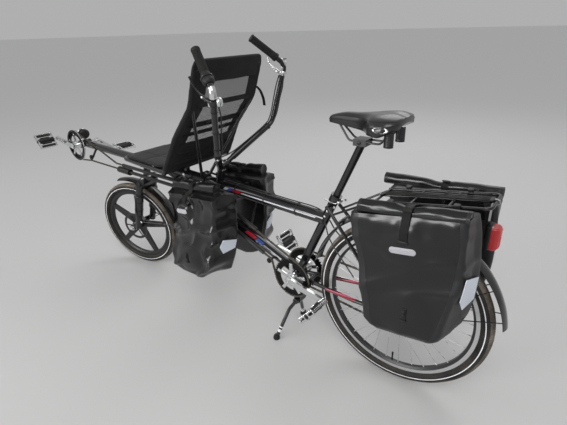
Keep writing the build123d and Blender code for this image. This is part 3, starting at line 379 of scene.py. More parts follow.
def frame_paint():
    """Glossy black lacquer with plain coloured stripes on the beam and the down tube, and painted highlights:
    a long thin silver line on the beam and a short one on the down tube stand for the glare on the glossy
    paint.
    """
    made = Finish("frame_paint", BLACK, 0.12, Coat_Weight=0.6, Coat_Roughness=0.03)
    beam = {"Slope": beam_slope, "Height": beam_height + 0.003}
    down = {"Slope": down_slope, "Height": down_height + 0.013}
    clean = made.striped(
        made.color,
        # Painted highlight: a long silver line along the beam where the glossy lacquer catches the light
        (PAINTED_HIGHLIGHT_SILVER, {**beam, "Start": 0.345, "End": 0.722, "Half": 0.0026}),
        (RED, {**beam, "Start": 0.728, "End": 0.773, "Half": 0.006}),
        (BLUE, {**beam, "Start": 0.778, "End": 0.800, "Half": 0.006}),
        ((0.7, 0.75, 0.85), {**beam, "Start": 0.800, "End": 0.822, "Half": 0.006}),
        # Painted highlight: a short silver line on the down tube where the glossy lacquer catches the light
        (PAINTED_HIGHLIGHT_SILVER, {**down, "Start": 0.521, "End": 0.616, "Half": 0.0016}),
        (BLUE, {**down, "Start": 0.621, "End": 0.659, "Half": 0.006}),
        (RED, {**down, "Start": 0.663, "End": 0.716, "Half": 0.006}),
    )
    return made.dusty(0.015, clean=clean).material


def stay_paint():
    """The same lacquer with two thin pink and red stripes on the chainstays."""
    made = Finish("stay_paint", BLACK, 0.16, Coat_Weight=0.4, Coat_Roughness=0.05)
    stripe = {"Start": 0.139, "End": 0.279, "Slope": -0.10}
    clean = made.striped(
        made.color,
        ((0.62, 0.12, 0.20), {**stripe, "Height": 0.3415, "Half": 0.0016}),
        (RED, {**stripe, "Height": 0.3360, "Half": 0.0014}),
    )
    return made.dusty(0.06, clean=clean).material


def rim_metal():
    """Black rim with worn silver brake bands on its flanks."""
    made = Finish("rear_rim_metal", (0.02, 0.02, 0.02), 0.35)
    w = made.w
    place = w.add("ShaderNodeSeparateXYZ", {0: w.place()}).outputs
    up = w.sum("SUBTRACT", place["Z"], REAR_AXLE.z * MM)
    radius = w.sum("SQRT", w.sum("ADD", w.sum("MULTIPLY", place["X"], place["X"]), w.sum("MULTIPLY", up, up)))
    flank = w.sum("GREATER_THAN", w.sum("ABSOLUTE", place["Y"]), 0.0112)
    band = w.sum("MULTIPLY", flank, w.sum("GREATER_THAN", radius, 0.2715))
    rings = w.noise(w.add("ShaderNodeCombineXYZ", {0: w.sum("MULTIPLY", radius, 900.0)}).outputs[0], 1.0, 3.0)
    metal = w.mix(rings, (0.55, 0.55, 0.56, 1), (0.75, 0.75, 0.76, 1))
    made.link(w.mix(band, made.color, metal), "Base Color")
    made.link(w.sum("MULTIPLY", band, 0.85), "Metallic")
    made.link(w.sum("MULTIPLY_ADD", rings, 0.25, 0.22), "Roughness")
    return made.material


def tarpaulin(name, color, gloss, crease, dust, depth=0.004):
    """Coated bag cloth, glossy where smooth and dull where dusty."""
    made = Finish(name, color, gloss, Specular_IOR_Level=0.42, Coat_Weight=0.18, Coat_Roughness=0.12)
    out = made.effect("crinkle", Scale=crease)
    made.dusty(dust, dust=(0.20, 0.18, 0.15), scale=9.0)
    made.bump(out["Height"], 0.10, depth)
    return made.material


def mesh_cloth():
    """See-through woven mesh of the chair."""
    made = Finish("chair_mesh", (0.007, 0.007, 0.008), 0.85, Specular_IOR_Level=0.2)
    out = made.effect("weave", Threads=900.0, Hole=0.70)
    made.bump(out["Height"], 0.4, 0.0006)
    made.link(out["Cloth"], "Alpha")
    return made.material


def solid_cloth(name, color, threads=2200.0):
    """Closed woven cloth."""
    made = Finish(name, color, 0.9, Sheen_Weight=0.08, Sheen_Roughness=0.5, Specular_IOR_Level=0.25)
    out = made.effect("weave", Threads=threads, Hole=0.0)
    made.dusty(0.05)
    made.bump(out["Height"], 0.35, 0.0005)
    return made.material


def webbing_cloth():
    """Woven strap."""
    made = Finish("webbing_cloth", (0.008, 0.008, 0.009), 0.8, Specular_IOR_Level=0.25)
    made.dusty(0.07)
    made.bump(made.effect("webbing")["Height"], 0.3, 0.0004)
    return made.material


def saddle_skin():
    """Black padded cover with a soft sheen and a leather grain."""
    made = Finish("saddle_skin", (0.007, 0.007, 0.0085), 0.30, Coat_Weight=0.4, Coat_Roughness=0.2)
    made.dusty(0.04)
    made.grained(420.0, 0.3, 35.0)
    return made.material


def bare_metal(name, color, gloss, dust=0.0, depth=0.2):
    """Polished or plated metal with handling marks."""
    made = Finish(name, color, gloss, Metallic=1.0)
    if dust:
        made.dusty(dust)
        out = made.effect("scratches", Gloss=gloss, Depth=depth)
        return made.bump(out["Height"], 0.05, 0.0002).material
    return made.scratched(depth).material


def glass_lens():
    made = Finish("lamp_glass", (0.95, 0.97, 1.0), 0.04, Transmission_Weight=1.0, IOR=1.49)
    made.bump(made.effect("webbing", Ribs=1400.0)["Height"], 0.2, 0.0004)
    return made.material


def red_lens():
    made = Finish("red_lens", (0.50, 0.006, 0.010), 0.12, Coat_Weight=0.6, Coat_Roughness=0.04)
    out = made.effect("weave", Threads=1500.0, Hole=0.0)
    made.bump(out["Height"], 0.5, 0.0008)
    return made.material


M = {
    "frame": frame_paint(),
    "stays": stay_paint(),
    "rim": rim_metal(),
    "satin": plain("black_satin_metal", (0.006, 0.006, 0.007), 0.24, 0.03, (900.0, 0.06), Coat_Weight=0.3,
                   Coat_Roughness=0.1),
    "silver": bare_metal("polished_alloy", (0.74, 0.745, 0.75), 0.22, 0.0, 0.08),
    "steel": bare_metal("plated_steel", (0.55, 0.55, 0.56), 0.30, 0.08),
    "dark_steel": bare_metal("dark_steel", (0.07, 0.07, 0.075), 0.36, 0.10),
    "spoke": bare_metal("spoke_steel", (0.72, 0.72, 0.73), 0.25),
    "chain": bare_metal("oiled_chain", (0.15, 0.135, 0.12), 0.38, 0.30),
    "cog": bare_metal("oiled_cogs", (0.24, 0.23, 0.215), 0.34, 0.22),
    "ring": bare_metal("black_ring", (0.02, 0.02, 0.022), 0.35, 0.12),
    "tread": plain("tyre_tread", (0.035, 0.028, 0.021), 0.85, 1.3, (500.0, 0.3)),
    "sidewall": plain("tyre_sidewall", (0.008, 0.0075, 0.007), 0.6, 0.22, (700.0, 0.2),
                      Specular_IOR_Level=0.3),
    "reflex": plain("reflective_band", (0.86, 0.87, 0.88), 0.45, 0.1, (900.0, 0.15)),
    "cast": plain("cast_wheel_black", (0.006, 0.006, 0.0065), 0.34, 0.06, (500.0, 0.2)),
    "plastic": plain("moulded_black", (0.007, 0.007, 0.0075), 0.42, 0.06, (600.0, 0.25),
                     Specular_IOR_Level=0.4),
    "guard": plain("mudguard_black", (0.006, 0.006, 0.0065), 0.14, 0.05, None, Coat_Weight=0.5,
                   Coat_Roughness=0.05),
    "rubber": plain("black_rubber", (0.008, 0.008, 0.0085), 0.6, 0.08, (450.0, 0.4), Specular_IOR_Level=0.3),
    "tarp": tarpaulin("glossy_tarpaulin", (0.007, 0.007, 0.0075), 0.27, 1.8, 0.01),
    "tarp_worn": tarpaulin("worn_tarpaulin", (0.007, 0.007, 0.007), 0.24, 2.2, 0.02),
    "gusset": tarpaulin("matt_gusset", (0.010, 0.0105, 0.012), 0.5, 4.0, 0.02),
    "mesh": mesh_cloth(),
    "cloth": solid_cloth("black_cloth", (0.006, 0.006, 0.007)),
    "webbing": webbing_cloth(),
    "skin": saddle_skin(),
    "badge": plain("blank_badge", (0.42, 0.42, 0.44), 0.4, 0.10, (900.0, 0.2)),
    "white": plain("reflective_patch", (0.72, 0.76, 0.84), 0.35, 0.05, (700.0, 0.2)),
    "grey": plain("grey_sleeve", (0.105, 0.11, 0.12), 0.5, 0.12, (500.0, 0.2)),
    "red": red_lens(),
    "glass": glass_lens(),
    "cable": plain("cable_housing", (0.011, 0.011, 0.012), 0.4, 0.06, (900.0, 0.1)),
}

CAD_FINISHES = {
    "main_beam": "frame", "down_tube": "frame", "seat_tube": "frame", "head_tubes": "frame", "boom": "frame",
    "seat_post": "satin", "chainstays": "stays", "seatstays": "frame", "rear_rim": "rim",
    "rear_hub": "silver",
    "rear_spokes": "spoke", "rear_cassette": "cog", "front_mag_rim": "cast", "front_axle": "dark_steel",
    "fork": "satin", "front_mudguard": "guard", "front_caliper": "satin", "handlebar": "satin",
    "handlebar_stem": "satin", "brake_levers": "satin", "bell": "silver", "steering_rod": "dark_steel",
    "rear_crankset": "silver", "front_crankset": "silver", "rear_chainrings": "ring",
    "front_chainring": "ring", "rear_left_pedal": "silver", "rear_right_pedal": "silver",
    "front_left_pedal": "silver", "front_right_pedal": "silver", "centre_stand": "satin",
    "seat_back_frame": "satin", "seat_base_frame": "satin", "rear_rack": "satin", "front_rack": "satin",
    "saddle_rails": "dark_steel", "rear_light": "plastic", "front_light": "plastic",
    "chain_tensioner": "plastic",
    "chain_tubes": "plastic", "derailleur": "dark_steel", "rear_mudguard": "guard", "grips": "rubber",
    "left_rear_pannier": "tarp", "right_rear_pannier": "tarp", "left_front_pannier": "tarp_worn",
    "right_front_pannier": "tarp_worn", "saddle": "skin", "seat_back_cloth": "mesh", "seat_cushion": "cloth",
    "rear_tyre": "sidewall", "front_tyre": "sidewall", "timing_chain": "chain", "drive_chain": "chain",
}
for node_name, finish_name in CAD_FINISHES.items():
    for material_slot in nodes[node_name].material_slots:
        material_slot.material = M[finish_name]


# Mesh making, in millimetres
class Shape:
    """Corners and faces of one piece, gathered from simple forms."""

    def __init__(self):
        self.corners = []
        self.faces = []
        self.slots = []

    def add(self, corners, faces, slot=0, place=None):
        start = len(self.corners)
        for corner in corners:
            point = Vector(corner)
            self.corners.append(place @ point if place else point)
        for face in faces:
            self.faces.append([start + index for index in face])
            self.slots.append(slot)
        return self

    def rings(self, rings, slot=0, around=True, caps=(True, True), closed=False, place=None, slot_of=None):
        """Rings of points, each joined to the next."""
        count = len(rings[0])
        start = len(self.corners)
        for ring in rings:
            for point in ring:
                point = Vector(point)
                self.corners.append(place @ point if place else point)
        for i in range(len(rings) if closed else len(rings) - 1):
            j = (i + 1) % len(rings)
            for k in range(count if around else count - 1):
                m = (k + 1) % count
                self.faces.append([start + i * count + k, start + i * count + m,
                                   start + j * count + m, start + j * count + k])
                self.slots.append(slot_of(i, k) if slot_of else slot)
        if not closed and caps[0]:
            self.faces.append([start + k for k in reversed(range(count))])
            self.slots.append(slot)
        if not closed and caps[1]:
            self.faces.append([start + (len(rings) - 1) * count + k for k in range(count)])
            self.slots.append(slot)
        return self

    def tube(self, points, radius, sides=12, slot=0, caps=True, closed=False, place=None, flat=1.0,
             upright=None):
        """A round or flattened tube along points."""
        points = [Vector(p) for p in points]
        radii = radius if isinstance(radius, (list, tuple)) else [radius] * len(points)
        total = len(points)
        first = upright or Vector((0, 0, 1))
        rings = []
        normal = None
        for i, point in enumerate(points):
            before = points[i - 1] if i or closed else point
            after = points[(i + 1) % total] if i < total - 1 or closed else point
            along = (after - before).normalized()
            if normal is None:
                normal = first - along * first.dot(along)
                if normal.length < 0.05:
                    normal = Vector((1, 0, 0)) - along * along.x
            normal = (normal - along * normal.dot(along)).normalized()
            side = along.cross(normal)
            ring = []
            for k in range(sides):
                a = 2 * math.pi * k / sides
                ring.append(point + (normal * math.cos(a) * flat + side * math.sin(a)) * radii[i])
            rings.append(ring)
        return self.rings(rings, slot, caps=(caps, caps), closed=closed, place=place)

    def lathe(self, profile, origin, direction, sides=32, slot=0, caps=(True, True), place=None):
        """A profile of (distance along, radius) pairs turned about a line."""
        origin = Vector(origin)
        along = Vector(direction).normalized()
        normal = along.orthogonal().normalized()
        side = along.cross(normal)
        rings = []
        for distance, radius in profile:
            ring = []
            for k in range(sides):
                a = 2 * math.pi * k / sides
                ring.append(origin + along * distance + (normal * math.cos(a) + side * math.sin(a)) * radius)
            rings.append(ring)
        return self.rings(rings, slot, caps=caps, place=place)

    def bolt(self, point, direction, radius=4.0, height=3.5, slot=0, place=None):
        """A domed bolt head with a socket."""
        profile = [(-1, radius), (height * 0.5, radius), (height * 0.85, radius * 0.82),
                   (height, radius * 0.6),
                   (height, radius * 0.42), (height * 0.35, radius * 0.42), (height * 0.35, 0.05)]
        return self.lathe(profile, point, direction, 12, slot, place=place)

    def block(self, size, origin, bevel=2.0, slot=0, place=None, x_dir=(1, 0, 0), z_dir=(0, 0, 1),
              segments=2):
        """A box with rounded edges, centred on a point."""
        work = bmesh.new()
        bmesh.ops.create_cube(work, size=1.0)
        for vertex in work.verts:
            vertex.co = Vector((vertex.co.x * size[0], vertex.co.y * size[1], vertex.co.z * size[2]))
        if bevel:
            bmesh.ops.bevel(work, geom=work.edges[:], offset=bevel, segments=segments, profile=0.5,
                            affect="EDGES")
        z_axis = Vector(z_dir).normalized()
        x_axis = (Vector(x_dir) - z_axis * z_axis.dot(Vector(x_dir))).normalized()
        y_axis = z_axis.cross(x_axis)
        origin = Vector(origin)
        work.verts.index_update()
        corners = [origin + x_axis * v.co.x + y_axis * v.co.y + z_axis * v.co.z for v in work.verts]
        faces = [[v.index for v in face.verts] for face in work.faces]
        work.free()
        return self.add(corners, faces, slot, place)

    def piece(self, name, body, finishes, hides=(), sharp=35.0, part_slot=None):
        """The finished object, riding on its body."""
        mesh = bpy.data.meshes.new(name)
        mesh.from_pydata([tuple(c * MM) for c in self.corners], [], self.faces)
        for finish in finishes:
            mesh.materials.append(M[finish])
        mesh.polygons.foreach_set("material_index", self.slots)
        mesh.validate()
        mesh.shade_smooth()
        mesh.set_sharp_from_angle(angle=math.radians(sharp))
        mesh.update()
        obj = bpy.data.objects.new(name, mesh)
        bpy.context.scene.collection.objects.link(obj)
        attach(obj, body)
        if hides:
            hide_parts(*hides)
        return obj


def mix(first, second, share):
    return first + (second - first) * share


def smooth_path(points, steps=8):
    """A smooth curve through points."""
    points = [Vector(p) for p in points]
    padded = [points[0] * 2 - points[1]] + points + [points[-1] * 2 - points[-2]]
    path = []
    for i in range(1, len(padded) - 2):
        a, b, c, d = padded[i - 1:i + 3]
        for step in range(steps):
            t = step / steps
            path.append(0.5 * ((2 * b) + (c - a) * t + (2 * a - 5 * b + 4 * c - d) * t * t
                               + (3 * b - a - 3 * c + d) * t ** 3))
    path.append(points[-1])
    return path


# Tyres
def make_tyre(name, body, outer_r, rim_r, axle, place, part, steps):
    """A touring tyre: cut tread, reflective line and sidewall."""
    half = 23.5
    centre = outer_r - half
    edge = math.acos((rim_r + 0.4 - centre) / half)
    angles = [mix(-edge, math.radians(-94), k / 5) for k in range(6)] + [math.radians(-86)]
    angles += [mix(math.radians(-78), math.radians(-62), k / 2) for k in range(3)]
    tread_steps = 26
    angles += [mix(math.radians(-58), math.radians(58), k / tread_steps) for k in range(tread_steps + 1)]
    angles += [-a for a in reversed(angles[:10])]
    shape = Shape()
    rings = []
    for i in range(steps):
        turn = 2 * math.pi * i / steps
        ring = []
        for a in angles:
            arc = abs(a) * half
            depth = 0.0
            if arc < 23.7:
                phase = (i / 5 + arc * 0.09) % 1.0
                if 3.2 < arc < 4.8 or 13.2 < arc < 14.4:
                    depth = 1.1
                elif arc > 5 and phase < 0.22:
                    depth = 0.9
            radius = centre + (half - depth) * math.cos(a)
            across = (half - depth) * math.sin(a)
            ring.append(axle + Vector((radius * math.cos(turn), across, radius * math.sin(turn))))
        bead = rim_r - 4
        for across in (9.0, -9.0):
            ring.append(axle + Vector((bead * math.cos(turn), across, bead * math.sin(turn))))
        rings.append(ring)

    def slot_of(i, k):
        if 10 <= k < 10 + tread_steps:
            return 0
        if k in (5, len(angles) - 7):
            return 2
        return 1

    shape.rings(rings, closed=True, place=place, slot_of=slot_of)
    shape.piece(name, body, ["tread", "sidewall", "reflex"], [part], 60, "tyre_rubber")


make_tyre("rear_tyre_tread", "rear_wheel", 326.5, 286.0, REAR_AXLE, None, "rear_tyre", 720)
make_tyre("front_tyre_tread", "front_wheel", 250.0, 209.5, FRONT_AXLE, FORK_TURN, "front_tyre", 550)


# Chains
def pitch_radius(teeth):
    return CHAIN_PITCH / 2 / math.sin(math.pi / teeth)


def touch_point(point, centre, radius, side):
    """Where a line from a point touches a circle, seen from the side."""
    dx = centre.x - point.x
    dz = centre.z - point.z
    reach = math.sqrt(dx * dx + dz * dz - radius * radius)
    angle = math.atan2(dz, dx) + side * math.atan2(radius, reach)
    return Vector((point.x + reach * math.cos(angle), point.y, point.z + reach * math.sin(angle)))


def arc_points(centre, radius, start, end, y, step=4.0):
    """Points round a sprocket from one angle to another, in degrees."""
    count = max(2, int(abs(end - start) / step))
    points = []
    for k in range(count + 1):
        a = math.radians(mix(start, end, k / count))
        points.append(Vector((centre.x + radius * math.cos(a), y, centre.z + radius * math.sin(a))))
    return points


def angle_at(centre, point):
    return math.degrees(math.atan2(point.z - centre.z, point.x - centre.x)) % 360


def make_chain(name, path, part):
    """Links of a roller chain along a closed path, inner and outer in turn."""
    path = path + [path[0]]
    lengths = [(b - a).length for a, b in zip(path[:-1], path[1:])]
    total = sum(lengths)
    count = 2 * round(total / CHAIN_PITCH / 2)
    pitch = total / count
    pins = []
    index = 0
    used = 0.0
    for k in range(count):
        target = k * pitch
        while used + lengths[index] < target:
            used += lengths[index]
            index += 1
        pins.append(path[index].lerp(path[index + 1], (target - used) / lengths[index]))
    shape = Shape()
    for k in range(count):
        a = pins[k]
        b = pins[(k + 1) % count]
        along = (b - a).normalized()
        across = Vector((0, 1, 0))
        up = along.cross(across)
        offset = 2.9 if k % 2 else 1.9
        outline = []
        for centre, turn in ((b, -90), (a, 90)):
            for step in range(5):
                angle = math.radians(turn + step * 45)
                outline.append(centre + along * 3.9 * math.cos(angle) + up * 3.9 * math.sin(angle))
        outline.insert(5, (a + b) / 2 + up * 2.7)
        outline.append((a + b) / 2 - up * 2.7)
        for side in (-1, 1):
            rings = [[p + across * side * (offset - 0.45) for p in outline],
                     [p + across * side * (offset + 0.45) for p in outline]]
            shape.rings(rings if side > 0 else rings[::-1])
        shape.tube([a - across * 3.3, a + across * 3.3], 1.9, 8)
        shape.tube([a - across * 1.4, a + across * 1.4], 3.0, 8)
    shape.piece(name, "frame", ["chain"], [part], 30, "chain_steel")


def timing_path():
    """The timing chain's line: over the top, round the front ring, back under, round the rear ring."""
    ring = pitch_radius(TIMING_TEETH)
    y = TIMING_Y
    bend_low = Vector((1040, y, 573))
    over_idler = Vector((543.9, y, 361.8))
    bend_high = Vector((905, y, 600))
    idler = Vector((1850, y, 606 - 14 - 4.6))
    top_front = Vector((1600, y, 612))
    front_top = touch_point(top_front, FRONT_BB, ring, 1)
    front_low = touch_point(idler, FRONT_BB, ring, -1)
    rear_top = touch_point(bend_high, REAR_BB, ring, -1)
    rear_low = touch_point(over_idler, REAR_BB, ring, 1)
    start = angle_at(FRONT_BB, front_top)
    end = angle_at(FRONT_BB, front_low) - 360
    path = [rear_top, bend_high, top_front] + arc_points(FRONT_BB, ring, start, end, y)
    path += [idler, bend_low, over_idler]
    return path + arc_points(REAR_BB, ring, angle_at(REAR_BB, rear_low), angle_at(REAR_BB, rear_top), y)[:-1]


def drive_path():
    """The drive chain's line, with its run through the derailleur."""
    ring = pitch_radius(DRIVE_TEETH)
    cog = pitch_radius(21)
    y = DRIVE_Y
    up = 90 + math.degrees(math.atan2(REAR_BB.z - REAR_AXLE.z, REAR_BB.x))
    up += math.degrees(math.atan2(ring - cog, REAR_BB.x))
    guide = Vector((26, y, 252))
    tension = Vector((42, y, 190))
    low = [guide + Vector((26, 0, 14)), guide + Vector((19, 0, -6)), tension + Vector((-19, 0, 6)),
           tension + Vector((-13.5, 0, -15.5)), tension + Vector((0, 0, -19))]
    wheel = Vector((0, y, REAR_AXLE.z))
    ring_low = touch_point(low[-1], REAR_BB, ring, -1)
    path = arc_points(wheel, cog, up, 325, y) + low
    return path + arc_points(REAR_BB, ring, angle_at(REAR_BB, ring_low) - 360, up, y)


make_chain("timing_chain_links", timing_path(), "timing_chain")
make_chain("drive_chain_links", drive_path(), "drive_chain")


# Panniers
class Bag:
    """A roll-top pannier on the left side, drawn from its corners; the right ones are mirrored."""

    def __init__(self, side, front, rear, depth, roll, roll_y, roll_r, crumple, size, seed):
        self.mirror = Matrix.Diagonal((1, side, 1, 1))
        self.front = front
        self.rear = rear
        self.inner, self.outer = depth
        self.roll = [Vector((x, roll_y, z)) for x, z in roll]
        self.roll_y = roll_y
        self.roll_r = roll_r
        self.crumple = crumple
        self.size = size
        self.seed = seed
        self.calm = []
        self.slant = [(0, 0), (1000, 0)]
        self.shape = Shape()

    def lag(self, z):
        """How much further back the rear face is at its inner edge than at its outer one."""
        for (z0, lag0), (z1, lag1) in zip(self.slant[:-1], self.slant[1:]):
            if z <= z1:
                return mix(lag0, lag1, max(0.0, (z - z0) / (z1 - z0)))
        return self.slant[-1][1]

    def edge(self, line, share):
        """A point of an upright edge, from its foot at 0 to its head at 1 by height."""
        z = mix(line[0][1], line[-1][1], share)
        for (x0, z0), (x1, z1) in zip(line[:-1], line[1:]):
            if z <= z1 + 0.001:
                return Vector((mix(x0, x1, (z - z0) / (z1 - z0)), 0, z))
        return Vector((line[-1][0], 0, line[-1][1]))

    def rows(self):
        """Levels from the floor of the bag to its roll: front edge, rear edge, inner and outer face."""
        plan = [
            (0.0, 20, 14, -30), (0.012, 8, 5, -12), (0.045, 1, 2, -2), (0.1, 0, 1, 0), (0.17, 0, 1, 0),
            (0.25, 0, 1, 0),
            (0.35, 0, 1, 0), (0.45, 0, 1, 0), (0.55, 0, 1, 0), (0.65, 0, 1, 0), (0.75, 0, 1, 0),
            (0.84, 0, 1, 0),
            (0.92, 0, 1, -1), (0.97, 1, 4, -4),
        ]
        levels = []
        for share, inset, low, high in plan:
            ahead = self.edge(self.front, share)
            behind = self.edge(self.rear, share)
            along = (ahead - behind).normalized() * inset
            levels.append((ahead - along, behind + along, self.inner + low, self.outer + high))
        ahead = self.edge(self.front, 1)
        behind = self.edge(self.rear, 1)
        along = (ahead - behind).normalized() * 5
        levels.append((ahead - along, behind + along, self.roll_y - self.roll_r + 4,
                       self.roll_y + self.roll_r - 3))
        return levels

    def levels(self, steps):
        """The rows with more levels between them."""
        rows = self.rows()
        made = []
        for low, high in zip(rows[:-1], rows[1:]):
            count = max(2, round(steps * (high[0] - low[0]).length / 60))
            made += [tuple(mix(a, b, k / count) for a, b in zip(low, high)) for k in range(count)]
        return made + [rows[-1]]

    def ring(self, level):
        """One level: a rounded box seen from above, following the level's slope."""
        ahead, behind, inner, outer = level
        length = (ahead - behind).length
        along = (ahead - behind).normalized()
        depth = outer - inner
        radius = min(18.0, depth * 0.3)
        corners = [(length - radius, depth - radius, 0), (radius, depth - radius, 90),
                   (radius, radius, 180), (length - radius, radius, 270)]
        outline = []
        for right, across, turn in corners:
            for k in range(6):
                a = math.radians(turn + 18 * k)
                outline.append((right + radius * math.cos(a), across + radius * math.sin(a)))
        straights = {5: 40, 11: 14, 17: 16, 23: 14}
        ring = []
        for i, point in enumerate(outline):
            after = outline[(i + 1) % len(outline)]
            steps = straights.get(i, 1)
            for k in range(steps):
                right = mix(point[0], after[0], k / steps)
                across = mix(point[1], after[1], k / steps)
                right -= self.lag(behind.z) * (1 - across / depth) * (1 - right / length)
                ring.append(behind + along * right + Vector((0, inner + across, 0)))
        return ring

    def fold(self, point, share):
        """How far the cloth lies inside its full shape at a point, in millimetres."""
        x = point.x / self.size
        z = point.z / self.size
        broad = noise.noise(Vector((x * 0.8 + z * 0.5 + self.seed, 0, z * 1.25 - x * 0.35)))
        lean = noise.noise(Vector((x * 1.25 + z * 1.0, self.seed, z * 1.1 - x * 0.5)))
        sharp = 1.0 - min(1.0, abs(lean) * 2.6)
        small = noise.noise(Vector((x * 3.0, point.y / self.size * 2.0, z * 3.0 + self.seed)))
        depth = 0.8 - 1.15 * broad - 0.75 * sharp * sharp - 0.12 * small
        middle = (self.front[-1][0] + self.rear[-1][0]) / 2
        gather = math.exp(-(1 - share) * 8) * math.exp(-((point.x - middle) / 90) ** 2)
        pleat = 0.5 + 0.5 * math.cos((point.x - middle) / 9.5)
        return self.crumple * (depth + 0.8 * gather * pleat)

    def body(self):
        """The lofted body with its folds; matt gussets along both upright edges."""
        levels = self.levels(7)
        rings = [self.ring(level) for level in levels]
        bent = []
        for i, ring in enumerate(rings):
            share = i / (len(rings) - 1)
            ends = min(1.0, min(i, len(rings) - 1 - i) / 5)
            new = []
            for k, point in enumerate(ring):
                along = ring[(k + 1) % len(ring)] - ring[k - 1]
                outward = Vector((along.y, -along.x, 0)).normalized()
                soft = min(1.0, max(0.0, (point.y - self.inner - 8) / 40)) * ends
                for centre, reach in self.calm:
                    gap = (point - centre).length / reach
                    soft *= min(1.0, max(0.08, gap * gap))
                new.append(point - outward * self.fold(point, share) * soft)
            bent.append(new)

        def slot_of(i, k):
            ahead, behind = levels[i][:2]
            point = rings[i][k]
            edge = min((point - ahead).xz.length, (point - behind).xz.length)
            return 1 if edge < 27 else 0

        self.shape.rings(bent, place=self.mirror, slot_of=slot_of)

    def rolled_top(self):
        """The rolled top, pinched where the strap goes over it, with its stiff lip and closed ends."""
        start, end = self.roll
        rings = []
        for i in range(61):
            share = i / 60
            centre = start.lerp(end, share)
            pinch = math.exp(-((share - 0.5) / 0.10) ** 2)
            tall = self.roll_r * (1.04 - 0.26 * pinch)
            thick = self.roll_r * (0.97 - 0.10 * pinch)
            ring = []
            for k in range(32):
                a = 2 * math.pi * k / 32
                lump = 1 + 0.10 * noise.noise(Vector((share * 7 + self.seed, math.cos(a) * 1.3,
                                                      math.sin(a) * 1.3)))
                lap = 0.93 + 0.07 * (k / 32)
                offset = Vector((0, thick * math.cos(a), tall * math.sin(a) - 5 * pinch))
                ring.append(centre + offset * min(lump * lap, 1.02))
            rings.append(ring)
        ends = []
        for ring, inset in ((rings[0], 1), (rings[-1], -1)):
            centre = sum(ring, Vector()) / len(ring)
            ends.append([centre.lerp(p, 0.72) + (end - start).normalized() * 3 * inset for p in ring])
        self.shape.rings([ends[0]] + rings + [ends[1]], place=self.mirror, slot_of=lambda i,
                         k: 1 if i < 3 or i > 58 else 0)

    def top_strap(self, x, width, foot):
        """The strap over the roll with its buckle and its tail."""
        start, end = self.roll
        share = (x - start.x) / (end.x - start.x)
        z = mix(start.z, end.z, share)
        y = self.roll_y
        r = self.roll_r
        face = self.outer + 1.2
        strap(self.shape, [(x, face, foot), (x, face, foot + 34), (x, min(face, y + r + 3), z - 18),
                           (x, y + r * 0.72, z + r * 0.42), (x, y + r * 0.1, z + r * 0.56),
                           (x, y - r * 0.75, z + 4),
                           (x, y - r * 0.95, z - 20)], width, 2.4, 2, self.mirror)
        buckle(self.shape, (x, y + r * 0.3, z + r * 0.62), (0, 0.35, 1), (0, 1, -0.35), 3, self.mirror,
               width / 28)
        self.shape.block((width + 8, 5, 8), (x, face + 0.5, foot + 6), 2, 3, self.mirror)

    def low_hook(self, x, z):
        """The adjusting hook's strap low on the outer face."""
        face = self.outer + 0.6
        self.shape.block((15, 4, 46), (x, face, z), 1.8, 3, self.mirror)
        self.shape.block((9, 8, 20), (x, face + 2.5, z + 8), 2.5, 3, self.mirror)
        self.shape.block((21, 6, 6), (x, face + 1.5, z - 21), 2, 3, self.mirror)

    def badge(self, x, z, length, tilt):
        """A blank pill-shaped badge."""
        pill(self.shape, (x, self.outer - 0.6, z), length, 20, 2.6, 4, self.mirror, tilt)

    def patch(self, outline):
        """A reflective patch on the rear face, from (across, height) corners."""
        height = self.rear[-1][1] - self.rear[0][1]
        rings = []
        for lift in (0.4, 2.2):
            ring = []
            for y, z in outline:
                place = self.edge(self.rear, (z - self.rear[0][1]) / height)
                inward = (self.outer - y) / (self.outer - self.inner)
                ring.append(Vector((place.x - lift - self.lag(z) * inward, y, z)))
            rings.append(ring)
        self.shape.rings(rings, 5, place=self.mirror)

    def rail_hook(self, x, rail_y, rail_z):
        """A hook over the carrier's rail."""
        self.shape.block((18, self.inner + 3 - rail_y, 5), (x, (self.inner + rail_y - 1) / 2, rail_z + 10),
                         1.8, 3,
                         self.mirror)
        self.shape.block((18, self.inner - rail_y - 5, 40), (x, (self.inner + rail_y + 9) / 2, rail_z - 9),
                         2.5, 3,
                         self.mirror)

    def finish(self, name, hides, cloth, gusset):
        self.shape.piece(name, "frame", [cloth, gusset, "webbing", "plastic", "badge", "white"], hides, 42,
                         "tarpaulin")


def strap(shape, points, width, thickness, slot, place=None, across=Vector((1, 0, 0)), steps=6):
    """A flat strap along a smooth line."""
    path = smooth_path(points, steps)
    rings = []
    for i, point in enumerate(path):
        before = path[max(i - 1, 0)]
        after = path[min(i + 1, len(path) - 1)]
        along = (after - before).normalized()
        side = (across - along * along.dot(across)).normalized() * width / 2
        up = side.cross(along).normalized() * thickness / 2
        rings.append([point + side + up, point - side + up, point - side - up, point + side - up])
    shape.rings(rings, slot, place=place)


def buckle(shape, centre, face, up, slot, place, scale=1.0):
    """A side-release buckle."""
    centre = Vector(centre)
    face = Vector(face).normalized()
    up = Vector(up).normalized()
    shape.block((28 * scale, 30 * scale, 6), centre, 2.2, slot, place, up.cross(face), face)
    shape.block((20 * scale, 16 * scale, 8), centre + up * 4, 2.2, slot, place, up.cross(face), face)
    shape.block((32 * scale, 7, 5), centre - up * 16 * scale, 2, slot, place, up.cross(face), face)
    shape.block((32 * scale, 7, 5), centre + up * 17 * scale, 2, slot, place, up.cross(face), face)


